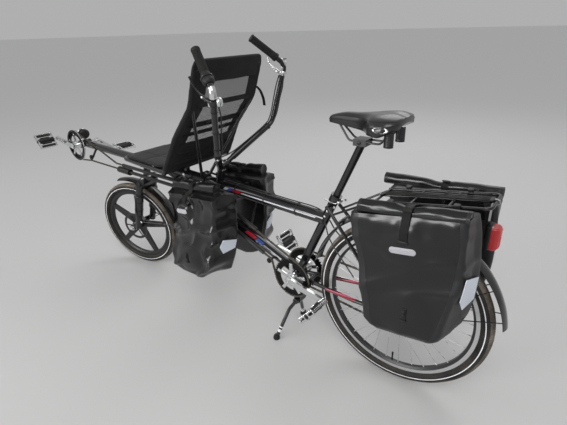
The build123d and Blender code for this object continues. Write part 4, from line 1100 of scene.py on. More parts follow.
def pill(shape, centre, length, height, thickness, slot, place, tilt):
    """A blank pill-shaped badge with a low edge round it."""
    turn = Matrix.Rotation(math.radians(tilt), 3, "Y")
    outline = []
    radius = height / 2
    for cx, start in ((length / 2 - radius, -90), (-length / 2 + radius, 90)):
        for k in range(9):
            a = math.radians(start + 180 * k / 8)
            outline.append((cx + radius * math.cos(a), radius * math.sin(a)))
    rings = []
    for shrink, rise in ((1.0, 0.0), (1.0, thickness * 0.6), (0.94, thickness), (0.80, thickness),
                         (0.78, thickness * 0.7)):
        short = 1 - (1 - shrink) * length / height
        rings.append([Vector(centre) + turn @ Vector((x * shrink, rise, z * short)) for x, z in outline])
    shape.rings(rings, slot, place=place)


def rear_pannier(name, side, seed, top, roll, roll_y, roll_r, hides):
    """A rear pannier, from its two top corners and its roll."""
    front = [(14, 348), (40, 376), (74, 542), (110, 700), top[0]]
    rear = [(-192, 372), (-206, 410), (-222, 480), (-236, 553), (-246, 632), (-247, 720), top[1]]
    bag = Bag(side, front, rear, (87.5, 214.5), roll, roll_y, roll_r, 10.0, 200, seed)
    bag.slant = [(372, 26), (410, 38), (452, 42), (513, 40), (591, 26), (670, 13), (762, 3), (810, 0)]
    bag.calm = [
        (Vector((-50, 214, 668)), 55), (Vector((-90, 214, 668)), 55), (Vector((-95, 214, 455)), 85),
        (Vector((-247, 180, 590)), 50), (Vector((-245, 130, 560)), 50), (Vector((-69, 214, 705)), 34),
    ]
    bag.body()
    bag.rolled_top()
    bag.top_strap(-69, 24, 690 if side > 0 else 680)
    bag.badge(-70, 668 if side > 0 else 655, 80, 8)
    bag.low_hook(-95, 455)
    bag.patch([(200, 628), (112, 598), (116, 524), (165, 507), (198, 552)])
    for x in (31, -167):
        bag.rail_hook(x, 68, 735 + (90 - x) * math.tan(math.radians(8.8)))
    bag.finish(name, hides, "tarp", "gusset")


rear_pannier("left_rear_bag", 1, 1.7, [(112, 742), (-236, 797)], [(85, 766), (-232, 797)], 184, 22,
             ["left_rear_pannier"])
rear_pannier("right_rear_bag", -1, 7.3, [(112, 735), (-235, 759)], [(150, 741), (-248, 761)], 160, 20,
             ["right_rear_pannier"])


def front_pannier(name, side, seed, hides):
    """A front pannier, emptier and more crumpled than the rear ones."""
    front = [(975, 238), (1008, 268), (1018, 340), (1006, 479), (996, 560), (1004, 632)]
    rear = [(826, 232), (776, 266), (746, 358), (722, 463), (700, 590), (702, 655)]
    bag = Bag(side, front, rear, (88.5, 215.5), [(985, 648), (735, 672)], 152, 24, 24.0, 165, seed)
    bag.slant = [(232, 10), (266, 36), (358, 44), (463, 40), (590, 22), (655, 4), (690, 0)]
    bag.calm = [
        (Vector((880, 215, 560)), 42), (Vector((904, 215, 560)), 42), (Vector((900, 215, 330)), 75),
        (Vector((716, 140, 420)), 50),
    ]
    bag.body()
    bag.rolled_top()
    bag.top_strap(866, 22, 590)
    bag.badge(892, 560, 62, 6)
    bag.low_hook(900, 330)
    bag.patch([(168, 453), (104, 436), (108, 395), (162, 383), (180, 421)])
    for x in (780, 960):
        bag.rail_hook(x, 74, 602 + (x - 704) * 30 / 326)
    bag.finish(name, hides, "tarp_worn", "tarp_worn")


front_pannier("left_front_bag", 1, 11.1, ["left_front_pannier"])
# The photo shows no bag here: this one mirrors the left one.
front_pannier("right_front_bag", -1, 15.9, ["right_front_pannier"])


# Chair
def filleted(points, radii, steps=8):
    """Straight runs joined by tangent arcs, as the bent tubes of the frame are."""
    path = [points[0]]
    for before, corner, after, radius in zip(points[:-2], points[1:-1], points[2:], radii):
        into = (corner - before).normalized()
        out = (after - corner).normalized()
        turn = into.angle(out)
        start = corner - into * radius * math.tan(turn / 2)
        centre = start + (out - into * into.dot(out)).normalized() * radius
        for k in range(steps + 1):
            a = turn * k / steps
            path.append(centre + (start - centre) * math.cos(a) + into * radius * math.sin(a))
    path.append(points[-1])
    return path


BACK_PATH = filleted([Vector((1006, 195, 697)), Vector((912, 182, 866)), Vector((806, 179, 993)),
                      Vector((752, 179, 1155))], [150, 120])
BACK_LENGTHS = [(b - a).length for a, b in zip(BACK_PATH[:-1], BACK_PATH[1:])]


def back_tube(share):
    """A point of the chair back's left tube, from its foot at 0 to its head at 1."""
    left = max(0.0, min(1.0, share)) * sum(BACK_LENGTHS)
    for a, b, length in zip(BACK_PATH[:-1], BACK_PATH[1:], BACK_LENGTHS):
        if left <= length:
            return a.lerp(b, left / length)
        left -= length
    return BACK_PATH[-1].copy()


def back_middle(share):
    """The point between the two tubes."""
    point = back_tube(share)
    return Vector((point.x, 0, point.z))


def back_half(share):
    """Half the distance between the side tubes."""
    return back_tube(share).y


def back_front(share):
    """Square to the back, towards the rider in the chair."""
    along = back_middle(min(1.0, share + 0.04)) - back_middle(max(0.0, share - 0.04))
    return Vector((along.z, 0, -along.x)).normalized()


def chair_back():
    """The mesh sheet between the side tubes."""
    sheet = Shape()
    rings = []
    for i in range(41):
        share = mix(0.045, 0.93, i / 40)
        half = back_half(share) - 3
        row = []
        for k in range(33):
            across = mix(-1, 1, k / 32)
            sag = -7.0 * (1 - across * across)
            row.append(back_middle(share) + back_front(share) * sag + Vector((0, across * half, 0)))
        rings.append(row)
    sheet.rings(rings, around=False, caps=(False, False))
    cloth = sheet.piece("chair_back_mesh", "frame", ["mesh"], ["seat_back_cloth"], 60, "seat_mesh")


chair_back()


def chair_sleeves():
    """Closed cloth round the side tubes with a hem along the mesh and over its foot, and straps behind it."""
    shape = Shape()
    for side in (-1, 1):
        points = []
        radii = []
        rings = []
        for i in range(31):
            share = mix(0.05, 0.95, i / 30)
            tube = back_tube(share)
            points.append(Vector((tube.x, tube.y * side, tube.z)))
            radii.append(11.7 + 0.5 * math.sin(i * 2.1))
            back = -back_front(share)
            outer = back_middle(share) + Vector((0, side * (tube.y - 2), 0)) + back * 9.6
            inner = back_middle(share) + Vector((0, side * (tube.y - 58), 0)) + back * (8
                + 1.2 * math.sin(i * 1.3))
            rings.append([outer, inner, inner + back * 2.4, outer + back * 2.4])
        shape.tube(points, radii, 16, 0, caps=True)
        shape.rings(rings)
    panel = []
    for i in range(17):
        share = mix(0.05, 0.31, i / 16)
        back = -back_front(share)
        row = []
        for k in range(25):
            across = mix(-1, 1, k / 24)
            row.append(back_middle(share) + Vector((0, across * (back_half(share) - 8), 0))
                       + back * (10.5 + 5 * (1 - across * across) + 0.8 * math.sin(k * 1.7 + i)))
        panel.append(row)
    shape.rings(panel, around=False, caps=(False, False))
    shape.piece("chair_back_sleeves", "frame", ["cloth"], (), 50, "seat_mesh")
    straps = Shape()
    for share in (0.70, 0.50, 0.40, 0.22, 0.12):
        wide = share in (0.70, 0.50)
        back = -back_front(share)
        middle = back_middle(share) + back * 13
        half = back_half(share) - 22
        points = [middle + Vector((0, mix(-half, half, k / 8), 0)) + back * 2 * math.sin(math.pi * k / 8)
                  for k in range(9)]
        strap(straps, points, 20 if wide else 15, 2.0, 0, None, Vector((0.5, 0, 1)), 2)
        buckle(straps, middle + Vector((0, 55 if share > 0.4 else -60, 0)) + back * 3, back, (0, 1, 0), 1,
               None, 0.7)
    back = -back_front(0.76)
    tail = back_middle(0.76) + Vector((0, -184, 0)) + back * 10
    strap(straps,
          [tail, tail + Vector((-10, -12, -18)), tail + Vector((-16, -24, -52)),
           tail + Vector((-16, -30, -84))],
          14, 1.8, 0, None, Vector((1, 0, 0)), 5)
    straps.piece("chair_lacing_straps", "frame", ["webbing", "plastic"], (), 40, "seat_mesh")


chair_sleeves()


def chair_headband():
    """The padded cloth pocket over the head of the back, rounded as the loop is, with piped edges."""
    band = Shape()
    rings = []
    low = back_middle(0.865)
    head = back_middle(1.0)
    along = (head - low).normalized()
    high = head + along * 7
    face = back_front(0.97)
    edges = []
    for i in range(49):
        across = mix(-1, 1, i / 48)
        y = across * 190
        corner = max(0.0, abs(y) - 130)
        drop = 24 - math.sqrt(max(0.0, 24 * 24 - max(0.0, corner - 36) ** 2))
        top = high - along * drop
        swell = 12.5 + 0.5 * math.sin(i * 0.35)
        thin = 0.45 + 0.55 * (1 - abs(across) ** 6)
        sag = -5 * (1 - across * across)
        ring = []
        for k in range(15):
            ring.append(low.lerp(top, k / 14)
                        + face * (swell * thin * (1 - 0.22 * (k / 14) ** 6) + sag * (1 - k / 14)))
        for k in range(1, 6):
            a = math.pi * k / 6
            ring.append(top + along * 4 * math.sin(a) + face * swell * thin * 0.75 * math.cos(a))
        for k in range(15):
            share = 1 - k / 14
            ring.append(low.lerp(top, share)
                        - face * (swell * thin * (1 - 0.22 * share ** 6) - sag * (1 - share)))
        ring = [p + Vector((0, y, 0)) for p in ring]
        rings.append(ring)
        edges.append(ring[0])
    band.rings(rings)
    band.tube([p + face * 0.6 for p in edges[1:-1]], 1.8, 8, 1)
    band.piece("chair_headband", "frame", ["cloth", "webbing"], (), 50, "seat_mesh")


chair_headband()


def chair_cushion():
    """The base cushion: sunk in the middle, with piped edges and stitched channels."""
    shape = Shape()
    rows = 40
    columns = 36
    top = []
    for i in range(rows + 1):
        t = i / rows
        x = mix(1034, 1345, t)
        half = mix(176, 152, t)
        line = []
        for k in range(columns + 1):
            u = mix(-1, 1, k / columns)
            corner = 1 - 0.10 * max(0, abs(2 * t - 1) - 0.75) * 4
            y = u * half * corner
            edge = (1 - abs(u) ** 5) * (1 - abs(2 * t - 1) ** 7)
            rise = 15 + 12 * max(0.0, edge) ** 0.5 - 7 * (1 - u * u) * math.sin(t * 3.1)
            groove = -3.0 * math.exp(-((abs(u) - 0.45) / 0.03) ** 2) - 3.0 * math.exp(-((t
                                                                                         - 0.5) / 0.03) ** 2)
            z = mix(702, 698, t) + rise + groove * (edge > 0.3)
            line.append(Vector((x, y, z)))
        top.append(line)
    bottom = [[Vector((p.x, p.y * 0.985, mix(702, 698, i / rows) + 9.5)) for p in line] for i,
              line in enumerate(top)]
    shape.rings(top, around=False, caps=(False, False))
    shape.rings([line[::-1] for line in bottom], around=False, caps=(False, False))
    rim_top = top[0] + [line[-1] for line in top[1:]] + top[-1][-2::-1] + [line[0] for line in top[-2:0:-1]]
    rim_low = bottom[0] + [line[-1] for line in bottom[1:]] + bottom[-1][-2::-1] + [line[0]
        for line in bottom[-2:0:-1]]
    shape.rings([rim_low, rim_top], caps=(False, False))
    pipe = [a.lerp(b, 0.12) for a, b in zip(rim_top, rim_low)]
    shape.tube(pipe, 3.2, 8, 1, closed=True)
    pad = shape.piece("chair_cushion_pad", "frame", ["cloth", "webbing"], ["seat_cushion"], 45, "seat_mesh")


chair_cushion()


# Saddle
def saddle_cover():
    """The padded saddle: broad crowned rear, narrow nose, skirt and a shallow middle channel."""
    stations = [
        (30, 58, 1005, 974), (38, 80, 1008, 969), (50, 91, 1012, 963), (66, 99, 1015, 955),
        (84, 101, 1015, 948),
        (104, 98, 1013, 949), (122, 89, 1011, 950), (137, 68, 1009, 951), (152, 50, 1008, 951),
        (170, 39, 1006, 952),
        (192, 31.5, 1004, 953), (240, 24.5, 1001, 957), (280, 18.5, 992, 960), (296, 13, 985, 961),
        (303, 5, 974, 965),
    ]
    path = smooth_path([Vector((x, half, top)) for x, half, top, low in stations], 4)
    lows = smooth_path([Vector((x, half, low)) for x, half, top, low in stations], 4)
    shape = Shape()
    rings = []
    for p, q in zip(path, lows):
        half = p.y
        top = p.z
        low = q.z
        ring = []
        for k in range(49):
            u = mix(-1, 1, k / 48)
            a = u * math.pi / 2 * 1.12
            crown = math.cos(min(abs(a), math.pi / 2)) ** 0.55
            drop = max(0.0, abs(a) - math.pi / 2) * 28
            z = mix(low + 8, top, crown) - drop - 3.5 * math.exp(-(u / 0.13) ** 2) * min(1, half / 80)
            y = half * math.sin(max(-math.pi / 2, min(math.pi / 2, a))) * (1 - 0.01 * drop)
            ring.append(Vector((p.x, y, z)))
        for k in range(13):
            u = mix(1, -1, (k + 1) / 14)
            ring.append(Vector((p.x, ring[48].y * 0.90 * u, low + 6 + 6 * (1 - u * u))))
        rings.append(ring)
    shape.rings(rings)
    seam = [ring[5] - Vector((0, 0.6, 0)) for ring in rings[1:-2]]
    seam += [ring[43] + Vector((0, 0.6, 0)) for ring in rings[-3:0:-1]]
    shape.tube(seam, 1.1, 6, 1, closed=True)
    stitches = []
    for ring in rings[3:-4]:
        stitches.append(ring[10] + Vector((0, 0, 0.3)))
    shape.tube(stitches, 0.8, 6, 1)
    shape.tube([Vector((p.x, -p.y, p.z)) for p in stitches], 0.8, 6, 1)
    oval = []
    for rise, scale in ((-3, 1.0), (1.0, 1.0), (1.6, 0.86), (0.6, 0.8)):
        ring = []
        for k in range(28):
            a = 2 * math.pi * k / 28
            x = 75 + 25 * math.cos(a) * scale
            z = 975 + 9 * math.sin(a) * scale
            y = 98.5 + rise - ((x - 84) / 36) ** 2 * 6 - (z - 975) * 0.12
            ring.append(Vector((x, y, z)))
        oval.append(ring)
    shape.rings(oval, 2)
    shape.rings(oval, 2, place=Matrix.Diagonal((1, -1, 1, 1)))
    pad = shape.piece("saddle_cover", "frame", ["skin", "rubber", "silver"], ["saddle"], 50, "saddle_cover")


saddle_cover()


def saddle_springs():
    """Coils in the two springs under the saddle, and the clamp's bolts."""
    shape = Shape()
    for side in (-1, 1):
        points = []
        for k in range(81):
            a = 2 * math.pi * k / 16
            points.append(Vector((66 + 13.2 * math.cos(a), side * 46 + 13.2 * math.sin(a),
                                  917 + 40 * k / 80)))
        shape.tube(points, 2.6, 8, 0)
        shape.lathe([(0, 4), (0, 15.4), (3, 15.4), (4, 13)], (66, side * 46, 913.5), (0, 0, 1), 24, 1)
        clamp = on_seat_tube(655)
        shape.bolt(clamp + Vector((0, side * 26, 4)), (0, side, 0), 6.0, 5.0, 0)
    shape.piece("saddle_spring_coils", "frame", ["dark_steel", "plastic"], (), 45, "steel")


# Handlebar furniture, drawn straight ahead
BAR_END = Vector((757, 203, 1212))
BAR_BEND = Vector((650, 292, 1095))
BAR_ELBOW = Vector((703, 235, 853))
BAR_BASE = Vector((842, 26, 716))


def sided(point, side):
    return Vector((point.x, point.y * side, point.z))


BAR_SLEEVE = 11.2


def grip_line(side):
    """The end of the bar, the way back along the grip, and the way out from it to the lever."""
    end = sided(BAR_END, side)
    back = (sided(BAR_BEND, side) - end).normalized()
    return end, back, Vector((0.62, 0.62 * side, -0.3)).normalized()


def on_seat_tube(distance, y=0.0):
    """The point of the seat tube at a distance from the rear bottom bracket."""
    lean = math.radians(66.2)
    return Vector((REAR_BB.x - distance * math.cos(lean), y, REAR_BB.z + distance * math.sin(lean)))


saddle_springs()


def ribbed_grips():
    """Ribbed grips with flanged ends; the left one has a pale ring at its lower end."""
    grips = Shape()
    for side in (-1, 1):
        end, back = grip_line(side)[:2]
        profile = [(-4, 8), (-4, 14.5), (-2, 16.6), (3, 16.6), (5, 15.6)]
        for k in range(24):
            at = 7 + k * 4.1
            profile += [(at, 14.6), (at + 1.2, 15.9), (at + 2.8, 15.9), (at + 4.0, 14.6)]
        profile += [(108, 16.4), (121, 16.4), (122, 12)]
        grips.lathe(profile, end, back, 28, 0, place=BAR_TURN)
        ring = [(121.5, 12), (121.5, 16.2), (122.5, 16.9), (125, 16.9), (126, 16.0), (126, 12)]
        grips.lathe(ring, end, back, 28, 1 if side > 0 else 0, place=BAR_TURN)
    grips.piece("ribbed_grips", "handlebar", ["rubber", "reflex"], ["grips"], 40, "rubber")


ribbed_grips()


def bar_controls():
    """Clamps, lever bodies and blades, and the twist shifters with their pods."""
    shape = Shape()
    pods = Shape()
    for side in (-1, 1):
        end, back, outward = grip_line(side)
        bend = sided(BAR_BEND, side)
        elbow = sided(BAR_ELBOW, side)
        down = (elbow - bend).normalized()
        ahead = Vector((1, 0, 0))
        ahead = (ahead - down * ahead.dot(down)).normalized()
        place = bend + down * 38
        metal = 0 if side > 0 else 1
        shape.lathe([(-9, BAR_SLEEVE), (-9, 15.5), (-7, 16.8), (7, 16.8), (9, 15.5), (9, BAR_SLEEVE)], place,
                    down, 28, metal,
                    place=BAR_TURN)
        body = [place + ahead * d - down * lift for d, lift in ((10, 0), (18, 1), (27, 3), (36, 7), (43, 12))]
        shape.tube(body, [9.5, 9.2, 8.4, 8.2, 5.5], 16, metal, flat=0.8, place=BAR_TURN)
        pin = place + ahead * 38 - down * 8
        shape.bolt(pin + Vector((0, 7 * side, 0)), (0, side, 0), 4.2, 3.0, 1, BAR_TURN)
        reach = (46, 62) if side > 0 else (50, 40)
        blade = []
        sizes = []
        for k in range(19):
            t = k / 18
            bow = 6 * math.sin(math.pi * t)
            blade.append(pin + ahead * (reach[0] * t + bow) - down * (reach[1] * t - bow * 0.6))
            sizes.append(5.2 - 1.6 * math.sin(math.pi * min(1.0, t * 1.15)) + (1.0 if k > 16 else 0))
        shape.tube(blade, sizes, 14, metal, flat=0.62, place=BAR_TURN)
        shape.lathe([(0, 5.5), (3, 5.5), (3, 4.2), (6, 4.2), (6, 5.2), (12, 5.2), (13, 3.2), (17, 3.0)],
                    place + ahead * 16 + down * 6, down, 16, 1, place=BAR_TURN)
        near = end + back * 123
        if side > 0:
            shape.lathe([(0, BAR_SLEEVE), (0, 21.5), (1.5, 23), (4.5, 23), (6, 21.5), (7, 19),
                         (9, BAR_SLEEVE)], near, back, 36, 0,
                        place=BAR_TURN)
            pods.lathe([(8, BAR_SLEEVE), (8, 19), (10, 20.5), (22, 20.5), (25, 18.5), (30, 14.5),
                        (30, BAR_SLEEVE)], near, back, 32, 1,
                       place=BAR_TURN)
            for k in range(12):
                a = 2 * math.pi * k / 12
                across = outward.cross(back).normalized()
                rib = near + back * 16 + (outward * math.cos(a) + across * math.sin(a)) * 20.3
                pods.tube([rib - back * 5, rib + back * 5], 1.3, 6, 1, place=BAR_TURN)
            pods.tube([bend - back * 14, bend - back * 4 + down * 2, bend + down * 8, bend + down * 24], 13.0,
                      20, 0,
                      place=BAR_TURN)
        else:
            shape.lathe([(0, BAR_SLEEVE), (0, 16.5), (1.5, 18.4), (10, 18.4), (12, 17.2), (14, BAR_SLEEVE)],
                        near, back, 32, 2,
                        place=BAR_TURN)
            rise = outward * 4 + Vector((0, 0, 7))
            line = [bend - back * d + rise for d in (30, 24, 12, 2)]
            line += [bend + down * d + ahead * 6 for d in (16, 34, 50, 58)]
            pods.tube(line, [5, 10.5, 13.5, 14, 14, 13, 9, 4], 18, 0, flat=0.85, place=BAR_TURN)
            pods.block((26, 12, 3), bend - back * 10 + rise + Vector((-4, -2, 11)), 1.2, 1, BAR_TURN, back,
                       (0, 0, 1))
    shape.piece("lever_blades", "handlebar", ["satin", "silver", "plastic", "reflex"], ["brake_levers"], 40,
                "black_metal")
    pods.piece("shifter_pods", "handlebar", ["silver", "plastic", "white"], (), 40, "black_metal")


bar_controls()


def bell_dome():
    """The bell: band with its screw, dome with a groove round it, and the striker."""
    shape = Shape()
    up = (BAR_BEND - BAR_ELBOW).normalized()
    place = BAR_ELBOW + up * 208
    out = Vector((-0.8, -0.35, 0)).normalized()
    shape.lathe([(-6, BAR_SLEEVE), (-6, 13.4), (-5, 14), (5, 14), (6, 13.4), (6, BAR_SLEEVE)], place, up, 28,
                1, place=BAR_TURN)
    foot = place + up * 6 + out * 13
    shape.lathe([(-2, 5), (0, 12), (1, 17.2), (2.4, 18), (4, 17.4), (5, 17.8), (9, 17.2), (13, 15),
                 (16.5, 11), (18.6, 6),
                 (19.2, 0.1)], foot, out, 36, 0, place=BAR_TURN)
    shape.lathe([(18.5, 3.4), (20, 3.2), (20.4, 2), (20.5, 0.1)], foot, out, 12, 1, place=BAR_TURN)
    shape.bolt(place - out * 12, -out, 3.4, 3.0, 0, BAR_TURN)
    arm = [place + up * 2 + out * 12, foot - up * 12 + out * 2, foot - up * 16.5 + out * 8]
    shape.tube(arm, [2.4, 2.0, 2.8], 8, 1, place=BAR_TURN)
    shape.piece("bell_dome", "handlebar", ["silver", "plastic"], ["bell"], 40, "silver")


bell_dome()


def bar_hardware():
    """Clamp bolts, collar and elbow bolts on the bar and its stem."""
    shape = Shape()
    for x in (-12, 12):
        for y in (-15, 15):
            shape.bolt(Vector((842 + x * 0.9, y, 716 + 15.5)), (0.15, 0, 1), 3.6, 3.4, 0, BAR_TURN)
    pivot = BAR_PIVOT
    shape.lathe([(16, 12), (16, 19.4), (19, 19.4), (20, 17.5), (20, 12)], pivot - STEER_DIR * 36, STEER_DIR,
                32, 0,
                place=BAR_TURN)
    shape.lathe([(0, 15), (0, 19.6), (3.5, 19.6), (3.5, 15)], pivot - STEER_DIR * 15, STEER_DIR, 32, 0,
                place=BAR_TURN)
    shape.lathe([(0, 19), (2, 17), (3, 10), (3, 0.1)], pivot + STEER_DIR * 14.4, STEER_DIR, 28, 1,
                place=BAR_TURN)
    shape.bolt(pivot + STEER_DIR * 17, STEER_DIR, 5.5, 4.0, 0, BAR_TURN)
    for side in (-1, 1):
        elbow = sided(BAR_ELBOW, side)
        base = sided(BAR_BASE, side)
        down = (base - elbow).normalized()
        shape.lathe([(0, BAR_SLEEVE), (0, 14.4), (2, 15), (8, 15), (10, 14.4), (10, BAR_SLEEVE)],
                    elbow + down * 24, down, 28, 1,
                    place=BAR_TURN)
        outward = Vector((-0.5, side * 0.8, 0.2))
        outward = (outward - down * outward.dot(down)).normalized()
        shape.bolt(elbow + down * 29 + outward * 14.5, outward, 4.4, 4.0, 0, BAR_TURN)
    shape.piece("bar_bolts_and_collars", "handlebar", ["silver", "plastic"], (), 40, "silver")


bar_hardware()


def cable(shape, points, radius=2.5, slot=0, place=None, steps=10):
    shape.tube(smooth_path(points, steps), radius, 10, slot, place=place)


def bar_cables():
    """Four housings clipped along the handlebar, from the controls down to the stem."""
    shape = Shape()
    for side in (-1, 1):
        bend = sided(BAR_BEND, side)
        elbow = sided(BAR_ELBOW, side)
        base = sided(BAR_BASE, side)
        down = (elbow - bend).normalized()
        inward = (base - elbow).normalized()
        for offset, rise in ((Vector((9, -9 * side, 0)), 15), (Vector((-11, -8 * side, 0)), 5)):
            start = bend + down * (44 if rise > 10 else 24) + Vector((14 if rise > 10 else -4, -8 * side, 0))
            points = [start, bend + down * 90 + offset * 1.6,
                      bend + down * 140 + offset * 1.5, elbow - down * 30 + offset * 1.4,
                      elbow + inward * 40 + offset + Vector((0, 0, 8)),
                      base - inward * 60 + Vector((8, 0, 15)),
                      Vector((864, rise * side, 740)), Vector((858, (rise - 3) * side, 722))]
            cable(shape, points, 2.5, 0, BAR_TURN)
        for share in (0.30, 0.62, 0.9):
            at = bend.lerp(elbow, share)
            shape.tube([at - down * 3, at + down * 3], 12.0, 18, 1, place=BAR_TURN)
    shape.piece("handlebar_housings", "handlebar", ["cable", "plastic"], (), 50, "rubber")


bar_cables()


def frame_cables():
    """Gear and brake housings that run along the frame, with their clips."""
    shape = Shape()
    for y, rise in ((9, 27.5), (-9, 27.5)):
        points = [beam_point(838, y, rise - 8), beam_point(820, y, rise - 1), beam_point(700, y, rise - 0.4),
                  beam_point(500, y, rise - 0.4), beam_point(360, y, rise), Vector((312, y * 1.6, 590)),
                  Vector((270, y * 3.6, 520)), Vector((150, y * 7.4, 420))]
        cable(shape, points, 2.4, 0, None, 8)
    derailleur = [Vector((150, -66.6, 420)), Vector((60, -80, 372)), Vector((-10, -88, 344)),
                  Vector((-24, -90, 316)),
                  Vector((2, -88, 290))]
    cable(shape, derailleur, 2.4, 0, None, 8)
    for x in (760, 600, 440):
        centre = beam_point(x)
        shape.tube([centre - Vector((3, 0, 0)), centre + Vector((3, 0, 0))], 26.2, 36, 1, caps=False)
        shape.block((9, 26, 4), beam_point(x, 0, 27.6), 1.4, 1, None)
    shape.piece("frame_housings", "frame", ["cable", "plastic"], (), 50, "rubber")


frame_cables()


# Pedals and cranks
PEDALS = {
    "rear_left_pedal": (REAR_BB, 192.6, 1, -50), "rear_right_pedal": (REAR_BB, 12.6, -1, 60),
    "front_left_pedal": (FRONT_BB, 8.4, 1, 50), "front_right_pedal": (FRONT_BB, 188.4, -1, 10),
}


def crank_end(centre, angle, y=0.0):
    a = math.radians(angle)
    return Vector((centre.x + 170 * math.cos(a), y, centre.z + 170 * math.sin(a)))


def pedal_fittings(name, centre, angle, side, tilt):
    """The dark middle of a platform pedal, its toothed cage edges, cage bolts and dust cap."""
    shape = Shape()
    at = crank_end(centre, angle)
    along = Vector((math.cos(math.radians(tilt)), 0, math.sin(math.radians(tilt))))
    up = Vector((-along.z, 0, along.x))
    across = Vector((0, side, 0))
    origin = at + across * 98
    profile = [(1, 5.4), (1, 11), (3, 14), (8, 15.4), (16, 14.6), (24, 13), (70, 13), (78, 14.2), (88, 15),
               (92, 13.5),
               (95.5, 9.5), (96.5, 0.1)]
    shape.lathe(profile, origin, across, 28, 0)
    shape.block((42, 56, 13), at + across * 145.5, 4, 0, None, along, up)
    for reach in (-33, 33):
        shape.block((13, 82, 9), at + across * 145.5 + along * reach, 3, 0, None, along, up)
    for plate in (101, 190):
        for rise in (-1, 1):
            for step in range(9):
                reach = (step - 4) * 9.6
                foot = at + across * (plate - 0.5) + along * reach + up * rise * 10.5
                shape.lathe([(0, 2.6), (1.6, 2.3), (3.6, 0.9), (3.7, 0.05)], foot, up * rise, 6, 1)
        for reach in (-44, 44):
            outward = across * (1 if plate > 150 else -1)
            shape.bolt(at + across * (plate + (2.5 if plate > 150 else -2.5)) + along * reach, outward, 3.2,
                       2.0, 1)
    for reach in (-44, 44):
        for step in range(7):
            foot = at + across * (115 + step * 10.5) + along * (reach + math.copysign(1.5, reach))
            shape.lathe([(0, 2.2), (4.4, 1.6), (5.2, 0.7), (5.3, 0.05)], foot, up, 6, 1)
            shape.lathe([(0, 2.2), (4.4, 1.6), (5.2, 0.7), (5.3, 0.05)], foot, -up, 6, 1)
    shape.piece(name + "_fittings", name, ["plastic", "silver"], (), 40, "silver")


for pedal_name, (pedal_bb, pedal_angle, pedal_side, pedal_tilt) in PEDALS.items():
    pedal_fittings(pedal_name, pedal_bb, pedal_angle, pedal_side, pedal_tilt)


def crank_fittings(name, body, centre, angle, rings):
    """Axle caps, pedal spindle ends and chainring bolts of a crankset."""
    shape = Shape()
    for side, turn in ((1, angle), (-1, angle + 180)):
        across = Vector((0, side, 0))
        cap = [(-1, 13), (0.6, 13), (1.6, 12), (1.6, 8.5), (0.4, 8.0), (0.4, 6.2), (2.2, 5.6), (2.2, 3.2),
               (0.8, 3.0), (0.8, 0.1)]
        shape.lathe(cap, centre + across * 81, across, 28, 0)
        end = crank_end(centre, turn)
        shape.lathe([(-1, 9.5), (0.8, 9.5), (1.4, 8.6), (1.4, 0.1)], end + across * 81, across, 24, 1)
        shape.lathe([(0, 7.6), (4.5, 7.6), (5.0, 7.0), (5.0, 4.8)], end + across * 81.4, across, 6, 1)
    for side, y in rings:
        across = Vector((0, side, 0))
        for number in range(5):
            a = math.radians(72 * number + 18)
            foot = centre + Vector((65 * math.cos(a), y + side * 6.0, 65 * math.sin(a)))
            shape.lathe([(-0.5, 5.6), (1.4, 5.6), (2.0, 5.0), (2.0, 3.0), (0.6, 2.8), (0.6, 0.1)], foot,
                        across, 16, 0)
            shape.lathe([(-0.5, 6.2), (1.2, 6.2), (1.6, 5.6), (1.6, 0.1)], foot - across * 9.2, -across, 16,
                        0)
    shape.piece(name, body, ["silver", "steel"], (), 40, "silver")


crank_fittings("rear_crank_bolts", "rear_crank", REAR_BB, 192.6, ((1, 52.0), (-1, -53.0)))
crank_fittings("front_crank_bolts", "front_crank", FRONT_BB, 8.4, ((1, 52.0),))


def ring_guard():
    """A black guard band with a polished edge outside the front chainring's teeth."""
    shape = Shape()
    outer = 91.0
    inner = 78.0
    profile = []
    for radius, y in ((inner, 54.6), (inner, 58.0), (outer - 2, 58.4), (outer, 57.4), (outer, 55.2),
                      (outer - 2, 54.6)):
        profile.append((radius, y))
    rings = []
    for k in range(96):
        a = 2 * math.pi * k / 96
        rings.append([FRONT_BB + Vector((radius * math.cos(a), y, radius * math.sin(a))) for radius,
                      y in profile])
    shape.rings(rings, closed=True, slot_of=lambda i, k: 1 if k in (2, 3) else 0)
    for number in range(5):
        a = math.radians(72 * number + 18)
        foot = FRONT_BB + Vector((70 * math.cos(a), 56.5, 70 * math.sin(a)))
        shape.block((26, 15, 3.4), foot, 1.2, 0, None, (math.cos(a), 0, math.sin(a)), (0, 1, 0))
    shape.piece("front_ring_guard", "front_crank", ["plastic", "silver"], (), 40, "black_metal")


ring_guard()


